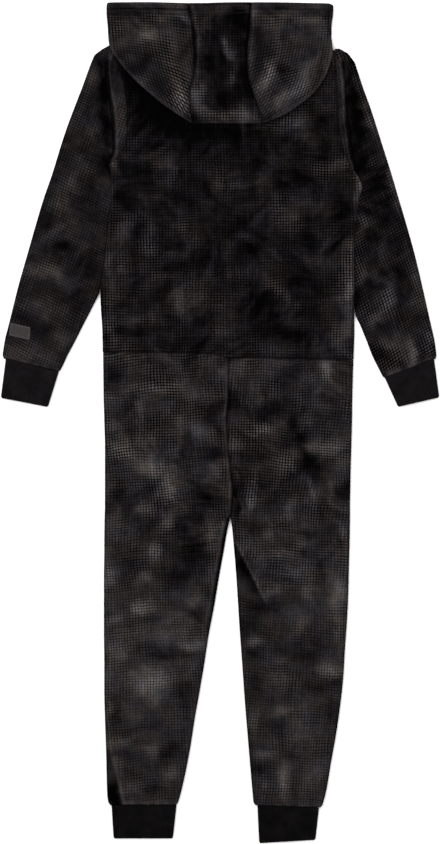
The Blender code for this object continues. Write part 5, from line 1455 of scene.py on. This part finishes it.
def sleeve(side):
    """A sleeve: rings from the armhole seam, over the fold beside it, and down to the cuff."""
    column, away = COLUMN[side], OUT[side]
    grain = grain_of(*SLEEVE_GRAIN[side])
    seam = edge_path(TORSO, column, 560, ARMPIT[side] + 4, away * (SEAM / 2 + 0.3))
    crest = edge_path(CREST, column, 557, ARMPIT[side] + 3, -away * CREST_IN[side])
    crest[0].y = SHOULDER_TOP[side]

    def arched(s, power):
        return math.sin(math.pi * min(max(s, 0), 1)) ** power

    def section(path, high, ends):
        return ring(path, lambda s: ends + (high - ends) * arched(s, 0.6), SLEEVE_COLUMNS, grain)

    keys = []
    for t, high in ((0.0, BACK - SEAM_DIP), (0.05, BACK - 0.3), (0.12, BACK + 0.5), (0.3, 7.0), (0.55, 7.8)):
        keys.append(section([a.lerp(b, t) for a, b in zip(seam, crest)], high, min(high, BACK)))
    keys[0] = moved_below(keys[0], 3.4, Vector((away * 1.3, 0)))  # the lower layer's seam is further out
    for out, high, ends in CREST_PROFILE:
        path = []
        for p, down in zip(crest, even(len(crest) - 1)):
            fall = 0.55 * (1 - down) ** 4 + 0.4 * down
            path.append(p + Vector((away * out * (1 - 0.7 * down * (out > 3)), -max(out, 0) * fall)))
        keys.append(section(path, high, ends))
    rings = loft(keys, 3.2)
    for k in range(SLEEVE_STEPS + 1):
        n = (len(FAN) - 1) * k / SLEEVE_STEPS
        outer_y, inner_y = (along(FAN, n, c + 2 * column - 2) for c in (1, 2))
        outer = Vector((along(SLEEVE_OUTER, outer_y, column), outer_y))
        touching = ease((inner_y - SLEEVE_LEAVES[side]) / 10)
        inner_x = along(SLEEVE_INNER, inner_y, column)
        inner_x += (along(TORSO, inner_y, column) + away * TUCK - inner_x) * touching
        inner = Vector((inner_x, inner_y))
        free, near_hem = ease((n - 5) / 3), ease((n - 8.2) / 0.8)

        def high_at(s):
            tucked = 4.4 + 0.6 * free - 0.8 * touching * ease((s - 0.8) / 0.15)
            arch = arched(s, 0.8)
            gathers = GATHERS * math.sin(s * 44 + 1.4 * math.sin(s * 9)) * near_hem * arch
            return tucked + (5.6 - tucked) * arch + (1 - s) * 0.4 + gathers
        row = ring([outer, inner], high_at, SLEEVE_COLUMNS, grain)
        rings += loft([rings[-1], row], GRID)[1:] if k == 0 else [row]
    run = (inner - outer).normalized()
    down = Vector((run.y, -run.x)) * -away
    for t in TURN_STEPS:
        shift = down * 4.6 * t
        turned = t ** TURN_POWER
        row = ring([outer + shift, inner + shift], lambda s: 5.6 - 0.8 * turned, SLEEVE_COLUMNS, grain,
                   inset=3.0 * turned)
        rings.append(moved_below(row, SLEEVE_MIDDLE, down * 0.8) if t == 1 else row)
    cloth("sleeve_" + side, [rings], above=SLEEVE_MIDDLE)


CUFF_HIGH = 4.9  # height of the middle of a cuff's upper layer
CUFF_COLUMNS = 150
CUFF_EDGE = 0.955  # where along a cuff its folded edge begins to round in
CUFF_TONE = {"sleeve": 0.30, "leg": 0.17}


def cuff(name):
    """A ribbed cuff: a short flattened tube whose ribs a node tree raises."""
    outer_top, inner_top, outer_low, inner_low = [Vector(p) for p in CUFFS[name]]
    rings = []
    for t in (0, 0.015, 0.04, 0.08, *(0.08 + 0.84 * i / 10 for i in range(1, 11)), CUFF_EDGE, 0.975, 0.99, 1):
        pinch = 1.1 * max(0, 1 - min(t, 1 - t) / 0.05) ** 2
        high = CUFF_HIGH + 0.5 * math.sin(math.pi * t) - pinch
        past = max(t - CUFF_EDGE, 0) / (1 - CUFF_EDGE)
        narrow = 2.4 * (1 - math.sqrt(max(0.0, 1 - past ** 2)))
        row = ring([outer_top.lerp(outer_low, t), inner_top.lerp(inner_low, t)],
                   lambda s: high, CUFF_COLUMNS, flat_grain, low=RIB / 2 + 0.5, inset=narrow, wall=RIB)
        if t == 0:  # its under layer starts further down
            row = moved_below(row, 2.9, (outer_low - outer_top).normalized() * 0.8)
        rings.append(row)
    steps = [[0.0] + [math.dist(a[:3], b[:3]) for a, b in zip(row, row[1:])] for row in rings]
    total = sum(steps[5])
    for row, lengths in zip(rings, steps):
        row[:] = [(*point[:3], travelled / sum(lengths) * total, point[1])
                  for point, travelled in zip(row, accumulate(lengths))]
    mesh = woven(name + "_knit", [rings])
    around = np.zeros(len(mesh.vertices))
    for loop, spot in zip(mesh.loops, mesh.uv_layers["grain"].uv):
        around[loop.vertex_index] = spot.vector.x * 1000
    carry(mesh, tone=np.full(len(around), CUFF_TONE[name.split("_")[0]]), around=around)
    obj = linked(mesh.name, mesh)
    with_nodes(obj, RIBS, Pitch=total / round(total / RIB_PITCH), Depth=RIB_DEPTH * 0.001, Material=RIB_KNIT)
    finished(obj, RIB_KNIT, RIB, [name])


# ---------- hood
def weave_plan(bottom, top, left, right):
    """Rows of plan points between four edges; bottom and top run left to right."""
    rows = []
    for j, (a, b) in enumerate(zip(left, right)):
        v = j / (len(left) - 1)
        row = []
        for i, (c, d) in enumerate(zip(bottom, top)):
            u = i / (len(bottom) - 1)
            corners = ((1 - u) * (1 - v) * bottom[0] + u * (1 - v) * bottom[-1]
                       + (1 - u) * v * top[0] + u * v * top[-1])
            row.append((1 - v) * c + v * d + (1 - u) * a + u * b - corners)
        rows.append(row)
    return rows


MOUTH = (  # x, y: the hood's hemmed mouth
    (-175, 629.4), (-157, 629.7), (-144, 630.2), (-126, 630.6), (-108, 630.6), (-72, 629.8), (-48, 629.2),
    (-30, 629.2), (0, 630.0), (24, 630.4), (60, 630.4), (84, 630.3), (108, 629.9), (132, 629.3),
    (156, 628.2), (175, 627.4),
)
HEM_LINES = (10.2, 15.6)  # its two rows of stitches, from the edge
MOUTH_CORNER = 3.4  # how far its two corners are rounded
SIDE_COUNT, CORNER_COUNT = 22, 12     # rows along the hood's side fold and round its corner
SHOULDER_COUNT, NAPE_COUNT = 16, 16   # columns of its under layer over the shoulder and the nape
NECK_COUNT = 16  # columns of its lower part along the front neckline
HOOD_INSET = CLOTH / 2 + HOOD_FOLD / 2  # from its folded edge in to its flat part


def hemmed(x, y):
    """How far the mouth's hem stands over the hood: two thicknesses, pressed in at its stitches."""
    deep = along(MOUTH, x) - y
    raised = 1.1 * ease((18.4 - deep) / 2.5)
    pressed = sum(0.75 * math.exp(-((deep - line) / 1.2) ** 2) for line in HEM_LINES)
    rolled_in = 1.5 * math.exp(-(max(deep, 0) / 1.6) ** 2)
    return raised - pressed - rolled_in


def hood_top(x, y):
    """Middle of the hood's upper layer with its hem."""
    return hood_height(x, y) + hemmed(x, y)


def row_fractions(count, fine=0.16):
    """Fractions along a hood's seam from the mouth: closer together over the hem."""
    near = round(count * 0.4)
    return [fine * t for t in even(near)[:-1]] + [fine + (1 - fine) * t for t in even(count - near)]


def hood_grain(side):
    """A function from a place on the upper layer to its grain, which leans more the further it is down."""
    out = OUT[side]
    steep = 0.62 / 175 ** 1.5

    def grain(x, y):
        deep = max(along(MOUTH, x) - y, 0.0)
        lean = steep * deep ** 1.5
        from_middle = (x - out * 105) * out
        return (x + out * steep * deep ** 2.5 / 2.5, -deep - lean * from_middle)
    return grain


def with_grain(rows, height, grain):
    return [[(p.x, p.y, height(p.x, p.y), *grain(p.x, p.y)) for p in row] for row in rows]


def under_hood(x, y):
    """Between the hood's two layers."""
    return hood_height(x, y) - HOOD_FOLD / 2


def hood_side(side):
    """A hood side: the upper layer, the fold round it, and the under layer to the neckline."""
    outwards = OUT[side]
    columns, corner = SHOULDER_COUNT + NAPE_COUNT, SIDE_COUNT + CORNER_COUNT
    edge = (curve(HOOD_SIDE[side], even(SIDE_COUNT)) + curve(HOOD_CORNER[side], even(CORNER_COUNT))[1:]
            + curve(HOOD_CROWN[side], even(columns))[1:])
    normals = [Vector((outwards, 0))]
    for before, after in zip(edge, edge[2:]):
        run = (after - before).normalized()
        normals.append(Vector((run.y, -run.x)) * -outwards)
    normals.append(Vector((0, -1)))
    flat = [p - n * HOOD_INSET for p, n in zip(edge, normals)]
    shift = Vector((outwards * HOOD_GAP / 2, 0))
    flat[-1] += shift
    side_edge, crown_edge = flat[:corner + 1], flat[corner:]
    seam_edge = [p + shift for p in curve(HOOD_SEAM[side], row_fractions(corner))]
    seam_edge[-1] = crown_edge[-1]
    mouth = [side_edge[0].lerp(seam_edge[0], t) for t in even(columns)]
    for point in mouth[1:-1]:
        point.y = along(MOUTH, point.x)
    grain = hood_grain(side)
    top = with_grain(weave_plan(mouth, crown_edge, side_edge, seam_edge), hood_top, grain)
    for row in top:  # the seam beside the middle strip is pressed in
        row[-8:] = [(x, y, z - 0.8 * rolled(math.dist((x, y), row[-1][:2]) + 0.2), u, v)
                    for x, y, z, u, v in row[-8:]]

    rounds = []
    for turn in [math.pi * (0.5 - t) for t in even(8)]:
        row = []
        for p, n in zip(flat, normals):
            high, low = hood_top(p.x, p.y), hood_height(p.x, p.y) - HOOD_FOLD
            radius = (high - low) / 2
            plan = p + n * HOOD_FOLD / 2 * math.cos(turn)
            u, v = grain(p.x, p.y)
            out = radius * (math.pi / 2 - turn)
            row.append((plan.x, plan.y, low + radius * (1 + math.sin(turn)), u + n.x * out, v + n.y * out))
        rounds.append(row)
    rounds[0][-1] = top[-1][-1]

    shoulder = curve(HOOD_SHOULDER[side], even(SHOULDER_COUNT))
    shoulder[0] = flat[SIDE_COUNT]
    nape = curve(HOOD_NAPE[side], even(NAPE_COUNT))
    nape[-1] = Vector(HOOD_NECK[side]) + shift
    inner_seam = [crown_edge[-1].lerp(nape[-1], t) for t in even(CORNER_COUNT)]
    under = weave_plan(crown_edge, shoulder + nape[1:], flat[SIDE_COUNT:corner + 1][::-1], inner_seam)
    neck = curve(HOOD_FRONT_NECK[side], even(NECK_COUNT))
    face = curve(HOOD_FACE[side], even(SHOULDER_COUNT + NECK_COUNT))
    face[0] = flat[0]
    front_end = [neck[-1].lerp(face[-1], t) for t in even(SIDE_COUNT)]
    lower = weave_plan(shoulder + neck[1:], face, flat[:SIDE_COUNT + 1][::-1], front_end)

    def lower_height(x, y):
        over = hood_under_height(x, y)
        return over + (FRONT - over) * ease((100 - max(-x, x - 3)) / 10)

    side_fold, corner_y = HOOD_SIDE[side][0]

    def rounded(x, y, *rest):
        """A point, moved where the mouth's corner is rounded."""
        bite = min(max(MOUTH_CORNER - abs(side_fold - x) + CLOTH / 2, 0), MOUTH_CORNER)
        fade = max(0.0, 1 - max(corner_y - y, 0) / 9)
        return (x, y - fade * (MOUTH_CORNER - math.sqrt(MOUTH_CORNER ** 2 - bite ** 2)), *rest)

    grids = [top, with_grain(under, hood_under_height, flat_grain),
             with_grain(lower, lower_height, flat_grain), rounds]
    cloth("hood_" + side, [[[rounded(*point) for point in row] for row in rows] for rows in grids],
          above=under_hood)


def hood_centre():
    """The hood's middle strip: from the mouth to the crown, round the fold, up to the nape."""
    gap = Vector((HOOD_GAP / 2, 0))
    left, right = [[p + gap * way for p in curve(HOOD_SEAM[side], row_fractions(SIDE_COUNT + CORNER_COUNT))]
                   for side, way in (("left", 1), ("right", -1))]
    left[-1].y += HOOD_INSET
    right[-1].y += HOOD_INSET
    at_seam = [0, 0.008, 0.018, 0.03, 0.048, 0.075, 0.11]
    across = at_seam + [0.15 + 0.7 * t for t in even(16)] + [1 - t for t in at_seam[::-1]]
    rows = []
    for a, b in zip(left, right):
        row = [a.lerp(b, t) for t in across]
        for p in row[1:-1]:
            straight = left[0].lerp(right[0], (p.x - left[0].x) / (right[0].x - left[0].x)).y
            p.y += max(0.0, 1 - (left[0].y - a.y) / 20) * (along(MOUTH, p.x) - straight)
        rows.append([(p.x, p.y, hood_top(p.x, p.y) - 0.8 * rolled(min(t, 1 - t) * (b - a).length + 0.2),
                      p.x, p.y) for p, t in zip(row, across)])
    bottom = [left[-1].lerp(right[-1], t) for t in across]
    for turn in [math.pi * (0.5 - step / 7) for step in range(1, 7)]:
        rows.append([(p.x, p.y - HOOD_FOLD / 2 * math.cos(turn),
                      hood_height(p.x, p.y) - HOOD_FOLD / 2 * (1 - math.sin(turn)), p.x,
                      p.y - HOOD_FOLD / 2 * (math.pi / 2 - turn)) for p in bottom])
    neck = Vector(HOOD_NECK["left"]) + gap, Vector(HOOD_NECK["right"]) - gap
    for t in even(CORNER_COUNT):
        a, b = bottom[0].lerp(neck[0], t), bottom[-1].lerp(neck[1], t)
        row = [a.lerp(b, i) for i in across]
        rows.append([(p.x, p.y, hood_under_height(p.x, p.y), p.x, 2 * bottom[0].y - 7 - p.y) for p in row])
    cloth("hood_centre", [rows], above=under_hood)


# ---------- zip and sleeve patch
def zip_tape(side):
    """A woven zip tape inside the front's edge, with the cord along it that carries the teeth."""
    low = FRONT + 1.2 + 0.3
    beside = SLIDER_WIDTH / 2 + 0.3
    slider_low = SLIDER_Y - SLIDER_LENGTH / 2 - 0.3
    levels = [ZIP_END + (slider_low - 1.5 - ZIP_END) * t for t in even(70)]
    levels += [slider_low, SLIDER_Y, SLIDER_Y + SLIDER_LENGTH / 2, ZIP_TOP]
    loops = []
    for y in levels:
        inner = 0.2 if y < slider_low - 1 else beside
        cord = 0.5 if inner < 1 else 0.0
        across = ((inner, low - cord * 0.6), (inner + 0.3, low - cord), (inner + 1.4, low - cord),
                  (inner + 1.9, low - cord * 0.5), (inner + 2.4, low), (TAPE_WIDTH - 0.3, low),
                  (TAPE_WIDTH, low + 0.2), (TAPE_WIDTH, low + TAPE - 0.2), (TAPE_WIDTH - 0.3, low + TAPE),
                  (inner + 0.3, low + TAPE), (inner, low + TAPE - 0.3))
        loops.append([(zip_x(y) + OUT[side] * x, y, z) for x, z in across])
    mesh = tube("zip_tape_" + side + "_weave", loops)
    grain = mesh.uv_layers.new(name="grain")
    for loop, spot in zip(mesh.loops, grain.uv):
        spot.vector = mesh.vertices[loop.vertex_index].co.xy
    finished(linked(mesh.name, mesh), TAPE_WEAVE, 0, ["zip_tape_" + side])


def surfaces(*names):
    """Trees of pieces' finished surfaces, for laying other things on them."""
    trees = []
    graph = bpy.context.evaluated_depsgraph_get()
    for name in names:
        mesh = bpy.data.meshes.new_from_object(PIECES[name].evaluated_get(graph))
        trees.append(BVHTree.FromPolygons([v.co for v in mesh.vertices], [p.vertices for p in mesh.polygons]))
        bpy.data.meshes.remove(mesh)
    return trees


def landed(trees, x, y):
    """The height in mm at which something let down at x, y lands."""
    hits = [tree.ray_cast(metres((x, y, 40)), Vector((0, 0, -1)))[0] for tree in trees]
    return max(hit.z for hit in hits if hit is not None) * 1000


def sleeve_patch():
    """A small woven patch near the left sleeve's outer edge, with a raised, overcast border."""
    under = surfaces("sleeve_left_cloth")
    columns, lines = 60, 38
    rows = []
    for t in even(lines):
        left, right = PATCH[0].lerp(PATCH[2], t), PATCH[1].lerp(PATCH[3], t)
        spots = [left.lerp(right, i) for i in even(columns)]
        rows.append([(p.x, p.y, landed(under, p.x, p.y)) for p in spots])
    for _ in range(3):  # the patch is stiffer than the waffle under it
        rows = [[(x, y, max(z, sum(rows[b][a][2] for a, b in (
            (max(i - 1, 0), j), (min(i + 1, columns), j), (i, max(j - 1, 0)), (i, min(j + 1, lines)))) / 4))
            for i, (x, y, z) in enumerate(row)] for j, row in enumerate(rows)]
    for j, row in enumerate(rows):
        for i, (x, y, z) in enumerate(row):
            across, down = i / columns * PATCH_WIDE, j / lines * PATCH_TALL
            edge = min(across, PATCH_WIDE - across, down, PATCH_TALL - down)
            border = 0.35 * ease((PATCH_BORDER - edge) / 0.5) * ease((edge + 0.4) / 0.7)
            row[i] = (x, y, z + 0.35 + PATCH_CLOTH / 2 + border, across, -down)
    mesh = woven("sleeve_patch_weave", [rows])
    finished(linked(mesh.name, mesh), PATCH_WEAVE, PATCH_CLOTH, ["sleeve_patch"])


# ---------- sewing and zip teeth
def stitch_form(name, length, wide, thick):
    """One stitch: a short arched thread, rounded in section."""
    loops = []
    for t in (-1.0, -0.6, 0.0, 0.6, 1.0):
        end = abs(t) == 1
        size = 0.35 if end else 1.0
        lift = -thick * 0.75 if end else thick * (0.9 * math.cos(t * math.pi / 2) ** 0.7 - 0.55)
        loops.append([(wide / 2 * size * math.cos(a), t * length / 2, lift + thick / 2 * size * math.sin(a))
                      for a in [math.tau * k / 6 for k in range(6)]])
    mesh = tube(name, loops)
    mesh.shade_smooth()
    return linked(name, mesh)


def tooth_form():
    """One zip tooth: a small rounded block with its hook towards the middle."""
    sections = ((-1.5, 0.45, 0.55), (-1.2, 0.75, 0.8), (0.4, 0.75, 0.8), (0.9, 0.5, 0.75), (1.5, 0.85, 0.7),
                (1.9, 0.55, 0.5))  # x, half width, half height
    corners = ((-1, -0.6), (-0.6, -1), (0.6, -1), (1, -0.6), (1, 0.6), (0.6, 1), (-0.6, 1), (-1, 0.6))
    return linked("tooth_form", tube("tooth_form", [[(x, wide * y, tall * z) for y, z in corners]
                                                    for x, wide, tall in sections]))


def hood_overlock(side):
    """The sewn edges under a hood seam, where the hood lies straight on the surface."""
    section = ((-2.6, 0.02), (-2.6, 0.3), (0, 0.34), (2.6, 0.3), (2.6, 0.02), (0, 0.02))
    line = [p for p in curve(HOOD_SEAM[side], even(60)) if p.y > 552]
    mesh = tube("hood_overlock_" + side,
                [[(p.x + off, p.y - 1.5 * (p.y > 628), z) for off, z in section] for p in line])
    finished(linked(mesh.name, mesh), THREAD, 0)


def row_of(name, lines, form, step, material, side=0.0, uneven=0.06, smooth=True):
    """A row of small pieces along lines, as one mesh."""
    mesh = bpy.data.meshes.new(name)
    points, edges = [], []
    for line in lines:
        edges += [(len(points) + i, len(points) + i + 1) for i in range(len(line) - 1)]
        points += [metres(p) for p in line]
    mesh.from_pydata(points, edges, [])
    obj = linked(name, mesh)
    with_nodes(obj, ROWS, Piece=form, Step=step * 0.001, Side=side * 0.001, Uneven=uneven, Material=material)
    finished(obj, material, 0, smooth=smooth)


# ---------- the garment
waffle_group()
nap_group()
dye_group()
FLEECE, RIB_KNIT, TAPE_WEAVE, METAL = fleece_finish(), rib_finish(), tape_finish(), metal_finish()
PATCH_WEAVE = patch_finish()
THREAD = thread_finish("dark_thread_finish", (0.006, 0.0055, 0.006))
PATCH_THREAD = thread_finish("patch_thread_finish", (0.07, 0.06, 0.06))
RIBS = piece_tree("ribs", {"Pitch": 2.1, "Depth": 0.0004}, raised_ribs)
ROWS = piece_tree("row", {"Piece": "Object", "Step": 0.003, "Side": 0.0, "Uneven": 0.1, "Seed": 7},
                  set_in_rows)

back_bodice()
for side, table in (("left", LEG_LEFT), ("right", LEG_RIGHT)):
    front_bodice(side)
    leg_panel("back_leg_" + side, table, True)
    leg_panel("front_leg_" + side, table, False)
    sleeve(side)
    hood_side(side)
hood_centre()
for name in CUFFS:
    cuff(name)
for side in OUT:
    zip_tape(side)
sleeve_patch()
for name in ("zip_slider", "zip_pull"):
    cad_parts[name].data.materials.clear()
    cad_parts[name].data.materials.append(METAL)

# Sewing and zip teeth, each a row of small pieces.
for side in OUT:
    hood_overlock(side)
stitch, small_stitch = stitch_form("stitch", 2.5, 0.7, 0.5), stitch_form("small_stitch", 1.5, 0.5, 0.3)
tooth = tooth_form()
hoods = surfaces("hood_left_cloth", "hood_centre_cloth", "hood_right_cloth")


def on_hood(depth):
    """Points along the mouth, at a distance from its edge, on the hood's cloth."""
    points = []
    for t in even(344):
        x = -166.5 + 333 * t
        y = along(MOUTH, x) - depth + 0.35 * math.sin(x * 0.13 + depth)
        points.append((x, y, landed(hoods, x, y) + 0.12))
    return points


row_of("hood_hem_stitches", [on_hood(depth) for depth in HEM_LINES], stitch, 3.1, THREAD)
teeth_line = [(zip_x(y), y, 1.85) for y in (ZIP_END + 1.5, 100, 300, SLIDER_Y - 9)]
row_of("zip_teeth", [teeth_line], tooth, 1.35, METAL, side=-3.6, uneven=0.0, smooth=False)
zip_lines = [[(zip_x(y) + sign * (ZIP_GAP + 3.2), y, 0.46) for y in range(-44, 497, 10)] for sign in (-1, 1)]
row_of("zip_topstitches", zip_lines, stitch, 3.1, THREAD)
patch_top = surfaces("sleeve_patch_weave")
corners = [PATCH[i] for i in (0, 1, 3, 2, 0)]
centre = sum(corners[:4], Vector((0, 0))) / 4
patch_line = []
for a, b in zip(corners, corners[1:]):
    for t in even(12)[:-1]:
        p = a.lerp(b, t)
        p = p + (centre - p).normalized() * 2.4
        patch_line.append((p.x, p.y, landed(patch_top, p.x, p.y) + 0.08))
patch_line.append(patch_line[0])
row_of("patch_stitches", [patch_line], small_stitch, 1.9, PATCH_THREAD)
for form in (stitch, tooth, small_stitch):
    bpy.data.objects.remove(form)

# ---------- floor, light and camera
mesh = bpy.data.meshes.new("studio_floor")
reach, just_below = 6, -0.0002
mesh.from_pydata([(reach * x, reach * y, just_below) for x, y in ((-1, -1), (1, -1), (1, 1), (-1, 1))], [],
                 [(0, 1, 2, 3)])
floor = linked("studio_floor", mesh)
floor.data.materials.append(floor_finish())


def area_light(name, place, size, power):
    """A square soft light that faces the middle of the garment."""
    lamp = bpy.data.lights.new(name, "AREA")
    lamp.size, lamp.energy = size, power
    obj = linked(name, lamp)
    obj.location = place
    obj.rotation_euler = (-Vector(place)).to_track_quat("-Z", "Y").to_euler()
    obj.visible_camera = False


area_light("key_light", (-1.3, 1.6, 3.2), 2.2, 105)
area_light("fill_light", (2.2, -0.8, 2.8), 2.4, 25)
area_light("under_light", (-1.3, 1.6, -3.2), 2.2, 100)
world = bpy.data.worlds.new("studio")
world.use_nodes = True
Nodes(world.node_tree).feed(world.node_tree.nodes["Background"], {"Color": (1, 1, 1, 1), "Strength": 0.95})
bpy.context.scene.world = world
bpy.context.scene.view_settings.view_transform = "Standard"

camera = bpy.data.cameras.new("camera")
camera.lens, camera.sensor_width = 120, 36
view = linked("camera", camera)
view.location = (-0.00045, 0.0015, 4.22)
bpy.context.scene.camera = view
